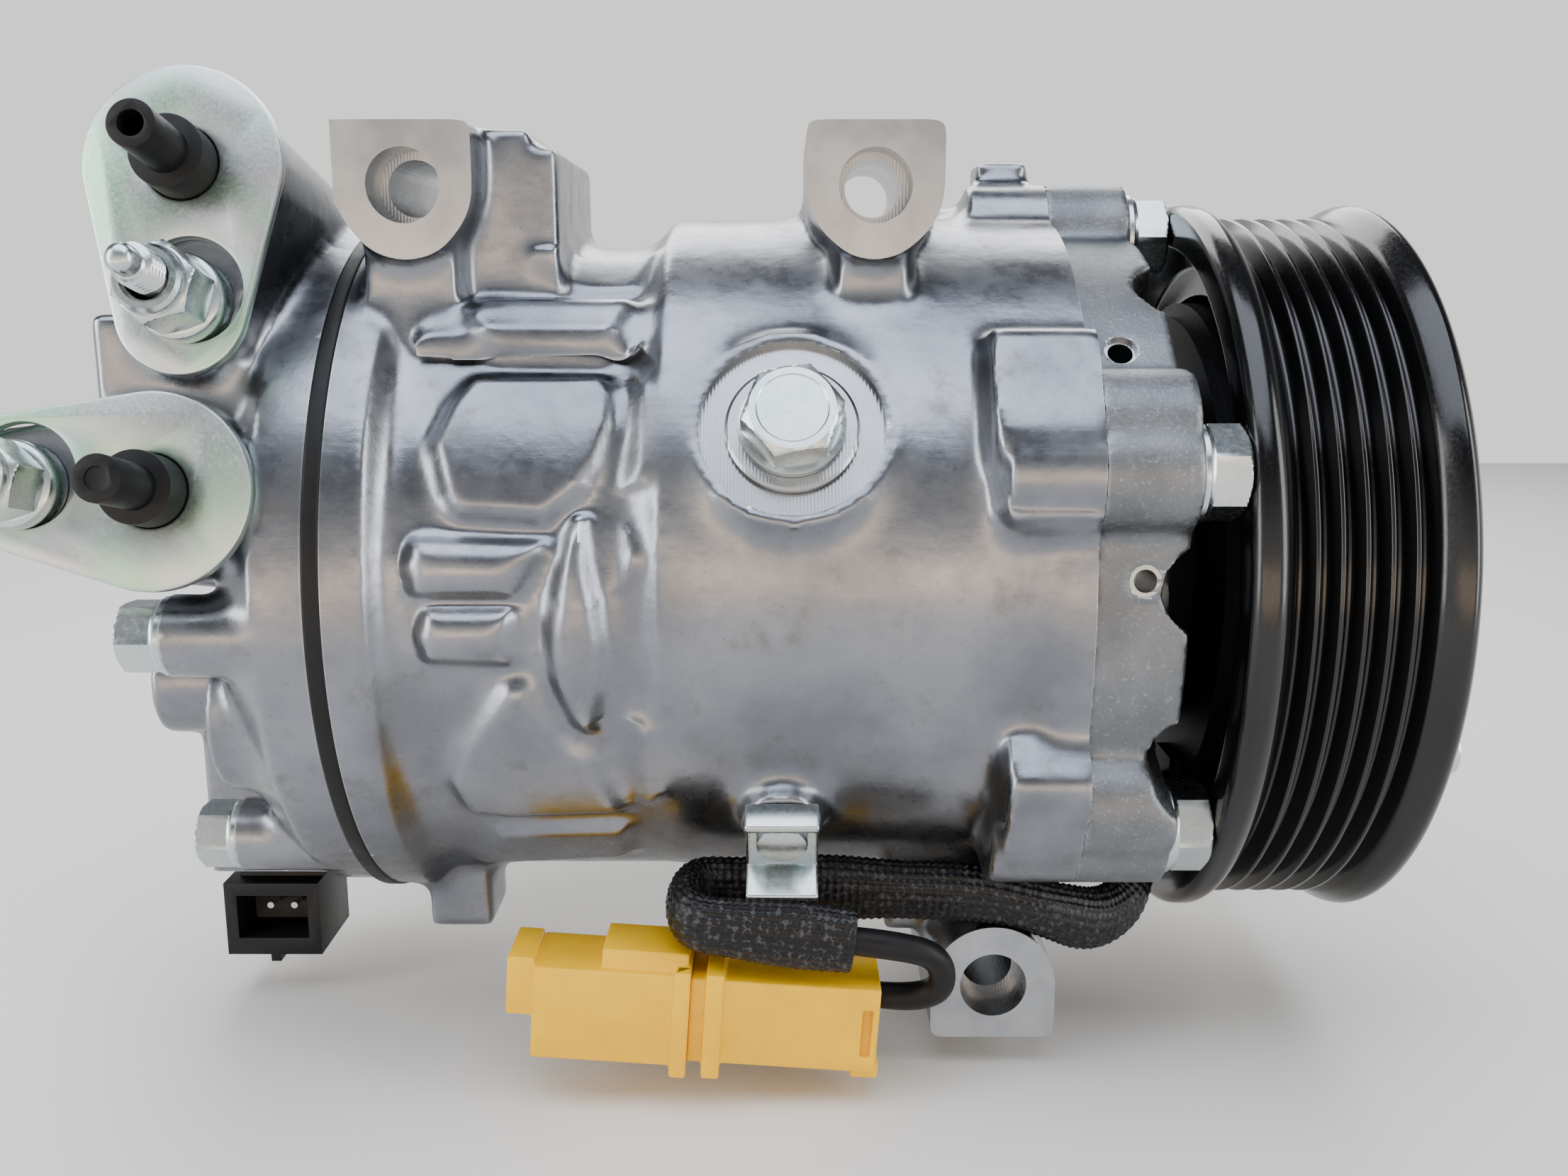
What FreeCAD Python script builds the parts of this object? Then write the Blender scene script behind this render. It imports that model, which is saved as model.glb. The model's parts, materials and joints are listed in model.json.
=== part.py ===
import FreeCAD, Part
from Sketcher import Constraint
import math
import os
import re

# Belt-driven air-conditioning compressor for a car: seven pistons, swash plate, magnetic clutch.
# The shaft runs along X with the pulley at the +X end, +Z is up and the mounting bores run along Y.
# The origin is on the shaft axis in the middle of the belt's width.  Millimetres and degrees.

SIZES = {
    # pulley and belt track
    "belt_pitch": 3.56, "rib_radius": 59.8, "groove_depth": 2.7, "rim_height": 2.2,
    "pulley_front": 15.9, "pulley_rear": -16.8, "friction_face": 11.5, "friction_wall": 4.0,
    "coil_cavity_radius": 46.5, "pulley_hub_wall": 4.0, "rim_recess_radius": 55.5,
    # pulley bearing
    "bearing_inner_radius": 17.5, "bearing_section": 8.5, "bearing_half_width": 9.5,
    "race_thickness": 2.2, "ball_radius": 2.9, "ball_row": 4.7, "ball_gap": 0.12,
    # clutch
    "clutch_gap": 0.5, "armature_thickness": 4.6, "armature_radius": 53.0, "armature_bore_radius": 27.0,
    "hub_radius": 16.0, "hub_flange": 2.4, "hub_rear": 5.0, "hub_tube": 11.0, "spring_arm": 7.5,
    "spring_thickness": 1.0,
    "rivet_circle": 47.0, "rivet_radius": 4.2, "rivet_head": 5.2,
    # field coil
    "coil_front": 6.6, "coil_outer_radius": 45.4, "coil_inner_radius": 31.2, "coil_plate_radius": 43.0,
    "coil_plate_rear": -15.0, "coil_plate_thickness": 2.0, "coil_seat_radius": 21.0, "clip_thickness": 1.2,
    # shaft
    "shaft_radius": 8.5, "shaft_front_radius": 7.5, "shaft_hub_radius": 6.2, "shaft_thread_radius": 4.0,
    "shaft_front": 24.5, "shaft_rear": -121.0, "running_gap": 0.05,
    # lug plate and swash plate
    "lug_front": -41.3, "lug_thickness": 8.0, "lug_radius": 40.0, "lug_pin_x": -58.5, "lug_pin_radius": 2.5,
    "lug_pin_offset": 19.0, "swash_x": -82.0, "swash_thickness": 8.0, "swash_radius": 44.5,
    "swash_hub_radius": 19.0, "sleeve_radius": 12.0, "spring_wire": 1.6,
    # pistons
    "bore_radius": 14.3, "bore_pitch": 36.5, "piston_gap": 0.05, "piston_crown": -144.0, "skirt_end": -104.0,
    "tail_end": -66.5, "shoe_ball_radius": 9.5, "shoe_gap": 0.06, "ring_width": 1.6, "ring_depth": 0.9,
    # main casting
    "body_rear": -149.0, "body_front": -38.0, "rear_band_radius": 58.4, "rear_band": 6.0,
    "waist_radius": 54.8, "waist_front": -104.0, "barrel_radius": 57.2, "barrel_rise": 2.3,
    "crank_radius": 51.4, "block_front": -97.0, "rear_bearing_radius": 13.0, "flange_ridge": 6.0,
    "flange_ridge_radius": 58.6,
    # mounting ears
    "ear_face": -40.0, "ear_round": 10.2, "ear_flat": 9.2, "ear_bore_radius": 4.25, "ear_sleeve_radius": 5.45,
    "ear_sleeve_depth": 8.5, "ear_high": 62.6, "ear_low": -64.5, "ear_rear_x": -138.8, "ear_front_x": -69.2,
    "ear_low_x": -48.3, "ear_rear_length": 58.0, "ear_front_length": 38.0, "ear_low_length": 50.0,
    # front housing
    "front_flange": 14.0, "front_flange_radius": 56.8, "front_bolt_circle": 56.5,
    "front_bolt_radius": 3.9, "front_bolt_depth": 12.0,
    "front_lobe": 9.0, "spigot_length": 6.0, "spigot_wall": 4.6, "seal_bore_radius": 13.0,
    # rear head
    "seal_width": 2.6, "seal_inner_radius": 55.2, "head_skirt": 8.0, "head_radius": 57.6, "head_rear": -166.0,
    "head_bolt_circle": 51.5, "head_bolt_radius": 2.95, "head_bolt_depth": 18.0,
    "head_boss_radius": 6.2, "head_boss_end": -172.8,
    "chamber_depth": 6.0, "discharge_radius": 33.0, "suction_inner_radius": 37.0, "suction_outer_radius": 47.8,
    "valve_plate_thickness": 2.0, "reed_thickness": 0.3,
    # ports, in the slanted port plane
    "port_tilt": 13.5, "port_face": 56.8, "port_plate": 2.2, "port_big": 14.4, "port_small": 9.6,
    "port_pitch": 21.0, "stud_pitch": 19.0, "port_hole": 5.6, "suction_x": -169.0, "suction_v": 53.0,
    "discharge_x": -172.7, "discharge_v": 5.9, "stud_radius": 3.0, "nut_across": 5.2,
    # control valve
    "valve_x": -175.5, "valve_y": -4.0, "valve_radius": 7.6, "valve_bottom": -55.0, "valve_top": -14.0,
    # oil plug
    "oil_x": -81.5, "oil_angle": 28.8, "oil_seat_drop": 0.2, "oil_spot_radius": 13.5,
    # harness
    "clip_x": -83.0, "clip_angle": -33.0, "clip_stand": 3.2, "clip_sheet": 1.6, "clip_half_width": 5.6,
    "sleeve_diameter": 8.0, "lead_diameter": 4.4, "plug_tilt": 4.0,
}

PISTONS = 7
FRONT_BOLT_ANGLES = (90.0, 22.5, -38.0, -97.0, -155.0, 155.0)
HEAD_BOLT_START = -3.0
PISTON_START = HEAD_BOLT_START + 180.0 / PISTONS

doc = FreeCAD.newDocument("compressor")
sheet = doc.addObject("Spreadsheet::Sheet", "sizes")
for row, (word, value) in enumerate(SIZES.items(), start=1):
    sheet.set(f"A{row}", word)
    sheet.set(f"B{row}", str(value))
    sheet.setAlias(f"B{row}", word)
doc.recompute()

NODES = []
BEARING_OUTER = "(bearing_inner_radius + bearing_section)"


# ---- helpers -------------------------------------------------------------------------------------

def formula(text):
    """Turns a formula written with the sheet's words into a FreeCAD expression."""
    return re.sub(r"[a-z_]+", lambda m: "sizes." + m.group() if m.group() in SIZES else m.group(), str(text))


def number(text):
    """The value of a formula now."""
    return sheet.evalExpression(formula(text))


def bind(item, prop, text):
    item.setExpression(prop, formula(text))


def node(name, item):
    """Marks an object as one of the compressor's pieces."""
    item.Label = name
    NODES.append(item)
    return item


def place(item, x="0", y="0", z="0"):
    for axis, text in zip("xyz", (x, y, z)):
        bind(item, f"Placement.Base.{axis}", text)


def rod(name, start, end, radius, y="0", z="0"):
    """A cylinder along X."""
    item = doc.addObject("Part::Cylinder", name)
    bind(item, "Radius", radius)
    bind(item, "Height", f"({end}) - ({start})")
    item.Placement.Rotation = FreeCAD.Rotation(FreeCAD.Vector(0, 1, 0), 90)
    place(item, start, y, z)
    return item


def rod_y(name, start, end, radius, x, z):
    """A cylinder along Y."""
    item = doc.addObject("Part::Cylinder", name)
    bind(item, "Radius", radius)
    bind(item, "Height", f"({end}) - ({start})")
    item.Placement.Rotation = FreeCAD.Rotation(FreeCAD.Vector(1, 0, 0), -90)
    place(item, x, start, z)
    return item


def rod_z(name, start, end, radius, x, y):
    """A cylinder along Z."""
    item = doc.addObject("Part::Cylinder", name)
    bind(item, "Radius", radius)
    bind(item, "Height", f"({end}) - ({start})")
    place(item, x, y, start)
    return item


def block(name, low, high):
    """A box between two corners, each an (x, y, z) of formulas."""
    item = doc.addObject("Part::Box", name)
    for prop, a, b in zip(("Length", "Width", "Height"), low, high):
        bind(item, prop, f"({b}) - ({a})")
    place(item, *low)
    return item


def hexagon(name, start, end, across, y="0", z="0"):
    """A hexagonal prism along X, its size given from flat to opposite flat, halved."""
    item = doc.addObject("Part::Prism", name)
    item.Polygon = 6
    bind(item, "Circumradius", f"({across}) / cos(30)")
    bind(item, "Height", f"({end}) - ({start})")
    item.Placement.Rotation = FreeCAD.Rotation(FreeCAD.Vector(0, 1, 0), 90)
    place(item, start, y, z)
    return item


def radial(name, inner, outer, radius, x, angle, kind="Part::Cylinder"):
    """A cylinder or hexagon that stands out from the shaft axis at an angle above the front side (-Y)."""
    item = doc.addObject(kind, name)
    if kind == "Part::Prism":
        item.Polygon = 6
        bind(item, "Circumradius", f"({radius}) / cos(30)")
    else:
        bind(item, "Radius", radius)
    bind(item, "Height", f"({outer}) - ({inner})")
    item.Placement.Rotation = FreeCAD.Rotation(FreeCAD.Vector(1, 0, 0), 45)
    bind(item, "Placement.Rotation.Angle", f"90 - ({angle})")
    place(item, x, f"-({inner}) * cos({angle})", f"({inner}) * sin({angle})")
    return item


def port_rod(name, low, high, radius, x, v, kind="Part::Cylinder"):
    """A cylinder or hexagon square to the slanted port plane, between two heights above the shaft axis."""
    item = radial(name, low, high, radius, x, "port_tilt", kind)
    place(item, x, f"({v}) * sin(port_tilt) - ({low}) * cos(port_tilt)",
          f"({v}) * cos(port_tilt) + ({low}) * sin(port_tilt)")
    return item


def fuse(name, items):
    item = doc.addObject("Part::MultiFuse", name)
    item.Shapes = items
    return item


def cut(name, base, tools):
    """The base with every tool taken away."""
    item = doc.addObject("Part::Cut", name)
    item.Base = base
    item.Tool = tools[0] if len(tools) == 1 else fuse(name + "_tools", tools)
    return item


def group(name, items):
    """Equal pieces kept as separate solids in one node."""
    item = doc.addObject("Part::Compound", name)
    item.Links = items
    return item


def origin_part(body, role):
    return [part for part in body.Origin.OriginFeatures if part.Role == role][0]


def turned(name, outline):
    """A body turned about the shaft axis from an outline of (x, radius) formulas."""
    body = doc.addObject("PartDesign::Body", name)
    sketch = body.newObject("Sketcher::SketchObject", name + "_outline")
    sketch.AttachmentSupport = [(origin_part(body, "XZ_Plane"), "")]
    sketch.MapMode = "FlatFace"
    draw(sketch, outline)
    turn = body.newObject("PartDesign::Revolution", name + "_turn")
    turn.Profile = sketch
    turn.ReferenceAxis = (sketch, ["H_Axis"])
    turn.Angle = 360
    body.Tip = turn
    return body


def draw(sketch, outline):
    """Closed polygon whose corners are held at formulas of the sheet."""
    spots = [FreeCAD.Vector(number(x), number(y), 0) for x, y in outline]
    count = len(spots)
    for i in range(count):
        sketch.addGeometry(Part.LineSegment(spots[i], spots[(i + 1) % count]), False)
    for i in range(count):
        sketch.addConstraint(Constraint("Coincident", i, 2, (i + 1) % count, 1))
    for i, (x, y) in enumerate(outline):
        for kind, text in (("DistanceX", x), ("DistanceY", y)):
            row = sketch.addConstraint(Constraint(kind, -1, 1, i, 1, number(text)))
            sketch.setExpression(f"Constraints[{row}]", formula(text))


def ring(name, start, end, inner, outer):
    return turned(name, [(start, inner), (end, inner), (end, outer), (start, outer)])


def around(radius, angle):
    """The y and z formulas of a point at an angle above the front side (-Y)."""
    return f"-({radius}) * cos({angle})", f"({radius}) * sin({angle})"


def piston_angles():
    return [PISTON_START + 360.0 * i / PISTONS for i in range(PISTONS)]


def head_bolt_angles():
    """One bolt between each two cylinders, apart from the place that the suction port takes up."""
    return [HEAD_BOLT_START + 360.0 * i / PISTONS for i in range(PISTONS) if i != 1]


def pear(name, low, high, grow, x, v, spin):
    """A pear-shaped prism in the port plane: a big end, and a small end port_pitch away from it."""
    big = number(f"port_big + ({grow})")
    small = number(f"port_small + ({grow})")
    pitch = number("port_pitch")
    lean = math.asin((big - small) / pitch)
    across, along = math.cos(lean), -math.sin(lean)
    body = doc.addObject("PartDesign::Body", name)
    sketch = body.newObject("Sketcher::SketchObject", name + "_outline")
    sketch.AttachmentSupport = [(origin_part(body, "XY_Plane"), "")]
    sketch.MapMode = "FlatFace"
    up = FreeCAD.Vector(0, 0, 1)
    middle, end = FreeCAD.Vector(0, 0, 0), FreeCAD.Vector(0, -pitch, 0)
    top = Part.ArcOfCircle(Part.Circle(middle, up, big), -lean, math.pi + lean)
    low_arc = Part.ArcOfCircle(Part.Circle(end, up, small), math.pi + lean, 2 * math.pi - lean)
    left = [FreeCAD.Vector(-across * r, c + along * r, 0) for r, c in ((big, 0), (small, -pitch))]
    right = [FreeCAD.Vector(across * r, c + along * r, 0) for r, c in ((small, -pitch), (big, 0))]
    for line in (top, Part.LineSegment(*left), low_arc, Part.LineSegment(*right)):
        sketch.addGeometry(line, False)
    for a, b in ((0, 1), (1, 2), (2, 3), (3, 0)):
        sketch.addConstraint(Constraint("Tangent", a, 2, b, 1))
    sketch.addConstraint(Constraint("Coincident", 0, 3, -1, 1))
    sketch.addConstraint(Constraint("PointOnObject", 2, 3, -2))
    for arc, text in ((0, f"port_big + ({grow})"), (2, f"port_small + ({grow})")):
        row = sketch.addConstraint(Constraint("Radius", arc, number(text)))
        sketch.setExpression(f"Constraints[{row}]", formula(text))
    row = sketch.addConstraint(Constraint("DistanceY", 2, 3, -1, 1, pitch))
    sketch.setExpression(f"Constraints[{row}]", formula("port_pitch"))
    pad = body.newObject("PartDesign::Pad", name + "_pad")
    pad.Profile = sketch
    bind(pad, "Length", f"({high}) - ({low})")
    body.Tip = pad
    body.Placement.Rotation = FreeCAD.Rotation(up, spin)
    tilted = doc.addObject("Part::Compound", name + "_tilted")
    tilted.Links = [body]
    tilted.Placement.Rotation = FreeCAD.Rotation(FreeCAD.Vector(1, 0, 0), 45)
    bind(tilted, "Placement.Rotation.Angle", "90 - port_tilt")
    place(tilted, x, f"({v}) * sin(port_tilt) - ({low}) * cos(port_tilt)",
          f"({v}) * cos(port_tilt) + ({low}) * sin(port_tilt)")
    return tilted


def tube(name, points, diameter):
    """A round lead along straight runs joined by tangent arcs, as large as each pair of runs allows."""
    spots = [FreeCAD.Vector(*p) for p in points]
    start = spots[0]
    edges = []
    for before, corner, after in zip(spots, spots[1:], spots[2:]):
        back, ahead = before - corner, after - corner
        reach = 0.45 * min(back.Length, ahead.Length)
        back.normalize()
        ahead.normalize()
        first, last = corner + back * reach, corner + ahead * reach
        half = back.getAngle(ahead) / 2
        radius = reach * math.tan(half)
        print(name, "bend radius", round(radius, 1))
        bisector = back + ahead
        bisector.normalize()
        centre = corner + bisector * (radius / math.sin(half))
        edges.append(Part.LineSegment(start, first).toShape())
        edges.append(Part.Arc(first, centre - bisector * radius, last).toShape())
        start = last
    edges.append(Part.LineSegment(start, spots[-1]).toShape())
    wire = Part.Wire(edges)
    ring_line = Part.Circle(spots[0], spots[1] - spots[0], diameter / 2)
    solid = wire.makePipeShell([Part.Wire(ring_line.toShape())], True, False)
    print(name, "volume over section times length", solid.Volume / (wire.Length * math.pi * diameter ** 2 / 4))
    item = doc.addObject("Part::Feature", name)
    item.Shape = solid
    return item


# ---- main casting ----------------------------------------------------------------------------------

def ear(name, x, z, length, side, web_near, web_low, web_high, web_half):
    """A mounting ear: a round boss with one square side, and the web that carries it."""
    far = f"ear_face + {length}"
    flat = (z, f"{z} + ear_flat") if side > 0 else (f"{z} - ear_flat", z)
    boss = rod_y(name + "_boss", "ear_face", far, "ear_round", x, z)
    square = block(name + "_square", (f"{x} - ear_round", "ear_face", flat[0]),
                   (f"{x} + ear_round", far, flat[1]))
    web = block(name + "_web", (f"{x} - {web_half}", web_near, web_low),
                (f"{x} + {web_half}", far, web_high))
    return [boss, square, web]


def ear_holes(name, x, z, length):
    return [rod_y(name + "_bore", "ear_face - 1", f"ear_face + {length} + 1", "ear_bore_radius", x, z),
            rod_y(name + "_sleeve", "ear_face - 1", "ear_face + ear_sleeve_depth", "ear_sleeve_radius", x, z)]


def front_lobes(name, start, end, angles):
    """The round lobes that carry the front flange's bolts."""
    return [rod(f"{name}_{i}", start, end, "front_lobe", *around("front_bolt_circle", a))
            for i, a in enumerate(angles)]


def cylinder_body():
    """Crankcase and cylinder block in one casting, with the three ears and the bolt bosses."""
    oil_seat, clip_seat = "barrel_radius - oil_seat_drop", "barrel_radius + clip_stand"
    core = turned("body_core", [("body_rear", "0"), ("body_rear", "rear_band_radius"),
                                ("body_rear + rear_band", "rear_band_radius"),
                                ("body_rear + rear_band + 2", "waist_radius"),
                                ("body_front", "waist_radius"), ("body_front", "0")])
    barrel = rod("barrel", "waist_front + 3", "body_front", "barrel_radius", "0", "barrel_rise")
    shoulder = doc.addObject("Part::Cone", "barrel_shoulder")
    bind(shoulder, "Radius1", "waist_radius - 1")
    bind(shoulder, "Radius2", "barrel_radius")
    bind(shoulder, "Height", "3")
    shoulder.Placement.Rotation = FreeCAD.Rotation(FreeCAD.Vector(0, 1, 0), 90)
    place(shoulder, "waist_front", "0", "barrel_rise")
    ridge = rod("flange_ridge", "body_front - flange_ridge", "body_front", "flange_ridge_radius")
    solids = [core, barrel, shoulder, ridge]
    solids += front_lobes("body_lobe", "body_front - front_bolt_depth - 1.5", "body_front", FRONT_BOLT_ANGLES)
    solids += front_lobes("upper_side_boss", "body_front - 15.5", "body_front", (29.0, 35.0))
    solids += front_lobes("lower_side_boss", "body_front - 12", "body_front", (-32.0, -26.0))
    solids += ear("rear_ear", "ear_rear_x", "ear_high", "ear_rear_length",
                  1, "ear_face + 2", "40", "ear_high", "7")
    solids += ear("front_ear", "ear_front_x", "ear_high", "ear_front_length",
                  1, "ear_face + 2", "40", "ear_high", "5.4")
    solids += ear("low_ear", "ear_low_x", "ear_low", "ear_low_length",
                  -1, "ear_face + 14", "ear_low", "-42", "6.5")
    solids += [
        block("rear_ear_block", ("ear_rear_x", "ear_face + 8", "46"), ("ear_rear_x + 17.6", "14", "71.4")),
        block("rear_ear_step", ("ear_rear_x", "ear_face + 8", "46"), ("ear_rear_x + 21.6", "8", "68.6")),
        block("low_ear_gusset", ("ear_low_x - 17", "ear_face + 15", "-62"), ("ear_low_x", "6", "-46")),
        block("bottom_lug", ("-145", "-22", "-62.6"), ("-134", "-8", "-50")),
        block("top_tab", ("-49", "2", "50"), ("-40", "12", "69.5")),
        rod("top_stub", "-58", "-46", "5", "6", "57"),
        rod("side_rib_high", "-138", "-104", "5.2", *around("53", 49)),
        rod("side_rib_middle", "-139", "-117", "3.2", *around("54.6", 9)),
        rod("side_rib_low", "-137", "-119", "3.2", *around("54.6", -1.5)),
        radial("side_swell_high", "40", "57.2", "9", "-108", 29),
        radial("side_swell_middle", "40", "57", "7", "-111", 10),
        radial("side_swell_low", "40", "56.8", "9", "-108", -24),
        radial("oil_boss", "40", f"{oil_seat} + 1.8", "oil_spot_radius + 2", "oil_x", "oil_angle"),
        radial("clip_pad", "40", clip_seat, "6.6", "clip_x", "clip_angle"),
    ]
    holes = [rod("crank_chamber", "block_front", "body_front + 1", "crank_radius"),
             rod("rear_bearing_seat", "block_front - 22", "block_front + 1", "rear_bearing_radius"),
             rod("shaft_clearance", "block_front - 27", "block_front", "shaft_radius + 0.6"),
             rod("oil_drain", "body_rear - 1", "block_front", "4")]
    for i, angle in enumerate(piston_angles()):
        holes.append(rod(f"bore_{i}", "body_rear - 1", "block_front + 1", "bore_radius",
                         *around("bore_pitch", angle)))
    for i, angle in enumerate(head_bolt_angles()):
        holes.append(rod(f"block_thread_{i}", "body_rear - 1", "body_rear + head_bolt_depth",
                         "head_bolt_radius", *around("head_bolt_circle", angle)))
    for i, angle in enumerate(FRONT_BOLT_ANGLES):
        holes.append(rod(f"flange_thread_{i}", "body_front - front_bolt_depth", "body_front + 1",
                         "front_bolt_radius", *around("front_bolt_circle", angle)))
    holes += ear_holes("rear_ear", "ear_rear_x", "ear_high", "ear_rear_length")
    holes += ear_holes("front_ear", "ear_front_x", "ear_high", "ear_front_length")
    holes += ear_holes("low_ear", "ear_low_x", "ear_low", "ear_low_length")
    holes += [radial("oil_hole", "45", f"{oil_seat} + 7", "6", "oil_x", "oil_angle"),
              radial("oil_spotface", oil_seat, f"{oil_seat} + 9", "oil_spot_radius", "oil_x", "oil_angle"),
              radial("clip_hole", f"{clip_seat} - 7.9", f"{clip_seat} + 4", "2", "clip_x", "clip_angle"),
              rod("side_hollow", "-133", "-119", "12", *around("65.3", 29))]
    node("cylinder_body", cut("cylinder_body", fuse("body_solid", solids), holes))


def oil_plug():
    seat, washer = "barrel_radius - oil_seat_drop", "1.4"
    shank = radial("oil_shank", "crank_radius + 0.3", seat, "5.95", "oil_x", "oil_angle")
    collar = radial("oil_collar", f"{seat} + {washer}", f"{seat} + {washer} + 1.6", "7.8", "oil_x", "oil_angle")
    neck = radial("oil_neck", seat, f"{seat} + {washer}", "5.95", "oil_x", "oil_angle")
    head = radial("oil_hex", f"{seat} + {washer} + 1.6", f"{seat} + {washer} + 7", "5.6", "oil_x",
                  "oil_angle", "Part::Prism")
    node("oil_plug", fuse("oil_plug", [shank, neck, collar, head]))
    disc = radial("oil_disc", seat, f"{seat} + {washer}", "9.8", "oil_x", "oil_angle")
    hole = radial("oil_disc_hole", f"{seat} - 7", f"{seat} + 7", "5.95", "oil_x", "oil_angle")
    node("oil_plug_washer", cut("oil_plug_washer", disc, [hole]))


# ---- front housing ---------------------------------------------------------------------------------

def front_housing():
    face = "(body_front + front_flange)"
    core = turned("front_core", [
        ("body_front - spigot_length", "crank_radius - 0.05 - spigot_wall"),
        ("body_front - spigot_length", "crank_radius - 0.05"), ("body_front", "crank_radius - 0.05"),
        ("body_front", "front_flange_radius"), (face, "front_flange_radius"), (face, "48"),
        (f"{face} + 2", "37"), ("coil_plate_rear", "27"), ("coil_plate_rear", "coil_seat_radius"),
        ("coil_plate_rear + coil_plate_thickness", "coil_seat_radius"),
        ("coil_plate_rear + coil_plate_thickness", "coil_seat_radius - 0.9"),
        ("coil_plate_rear + coil_plate_thickness + clip_thickness", "coil_seat_radius - 0.9"),
        ("coil_plate_rear + coil_plate_thickness + clip_thickness", "coil_seat_radius"),
        ("-bearing_half_width - 1.2", "coil_seat_radius"), ("-bearing_half_width - 1.2", "20"),
        ("-bearing_half_width", "20"), ("-bearing_half_width", "bearing_inner_radius"),
        ("bearing_half_width", "bearing_inner_radius"),
        ("bearing_half_width", "bearing_inner_radius - 0.8"),
        ("bearing_half_width + clip_thickness", "bearing_inner_radius - 0.8"),
        ("bearing_half_width + clip_thickness", "bearing_inner_radius"), ("11.8", "bearing_inner_radius"),
        ("11.8", "seal_bore_radius"), ("3.6", "seal_bore_radius"), ("3.6", "seal_bore_radius + 0.7"),
        ("2.4", "seal_bore_radius + 0.7"), ("2.4", "seal_bore_radius"), ("-8", "seal_bore_radius"),
        ("-8", "shaft_radius + 0.8"), ("-14", "shaft_radius + 0.8"), ("-14", "seal_bore_radius"),
        ("body_front", "seal_bore_radius"),
        ("body_front", "crank_radius - 0.05 - spigot_wall")])
    lobes = front_lobes("housing_lobe", "body_front", face, FRONT_BOLT_ANGLES)
    lobes += front_lobes("housing_side_lobe", "body_front", face, (29.0, -31.0))
    holes = [rod(f"housing_hole_{i}", "body_front - 1", f"{face} + 1", "front_bolt_radius + 0.4",
                 *around("front_bolt_circle", a)) for i, a in enumerate(FRONT_BOLT_ANGLES)]
    holes += [ring("o_ring_groove", "body_front - 4.2", "body_front - 1.8", "crank_radius - 2.2",
                   "crank_radius + 1"),
              radial("coil_lead_thread", "44", "64", "1.9", "body_front + 5.6", 43),
              radial("gauge_hole", "44", "64", "1.7", "body_front + 7.4", 6.5),
              radial("gauge_countersink", "55.6", "64", "2.6", "body_front + 7.4", 6.5),
              radial("edge_notch_high", "40", "70", "6.5", f"{face} + 2.4", 5),
              radial("edge_notch_low", "40", "70", "6.5", f"{face} + 2.4", -22),
              radial("edge_notch_top", "40", "70", "7", f"{face} + 3", 58),
              radial("lead_notch", "40", "72", "7.5", f"{face} + 1", -64)]
    node("front_housing", cut("front_housing", fuse("front_solid", [core] + lobes), holes))
    node("front_o_ring", ring("front_o_ring", "body_front - 4.2", "body_front - 1.8", "crank_radius - 2.2",
                              "crank_radius"))


def flange_bolt(name, face, direction, thread, shank, across, flange, circle, angle):
    """A hex flange bolt along X: its head stands on a face and its shank runs into the thread."""
    spot = around(circle, angle)
    ends = [f"{face} + ({direction}) * {d}" for d in (0, 1.8, 7.2)]
    low, high = (0, 1) if direction > 0 else (1, 0)
    washer = rod(name + "_flange", *(ends[:2][low], ends[:2][high]), flange, *spot)
    head = hexagon(name + "_head", *(ends[1:][low], ends[1:][high]), across, *spot)
    stem_ends = (thread, face) if direction > 0 else (face, thread)
    stem = rod(name + "_stem", *stem_ends, shank, *spot)
    return fuse(name, [washer, head, stem])


def bolts():
    face = "(body_front + front_flange)"
    node("front_flange_bolts", group("front_flange_bolts", [
        flange_bolt(f"front_bolt_{i}", face, 1, "(body_front - front_bolt_depth + 1)", "front_bolt_radius",
                    "6.2", "7.4", "front_bolt_circle", a) for i, a in enumerate(FRONT_BOLT_ANGLES)]))
    node("rear_head_bolts", group("rear_head_bolts", [
        flange_bolt(f"rear_bolt_{i}", "head_boss_end", -1, "(body_rear + head_bolt_depth - 1)",
                    "head_bolt_radius", "4.9", "5.9", "head_bolt_circle", a)
        for i, a in enumerate(head_bolt_angles())]))


# ---- rear head -------------------------------------------------------------------------------------

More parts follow.
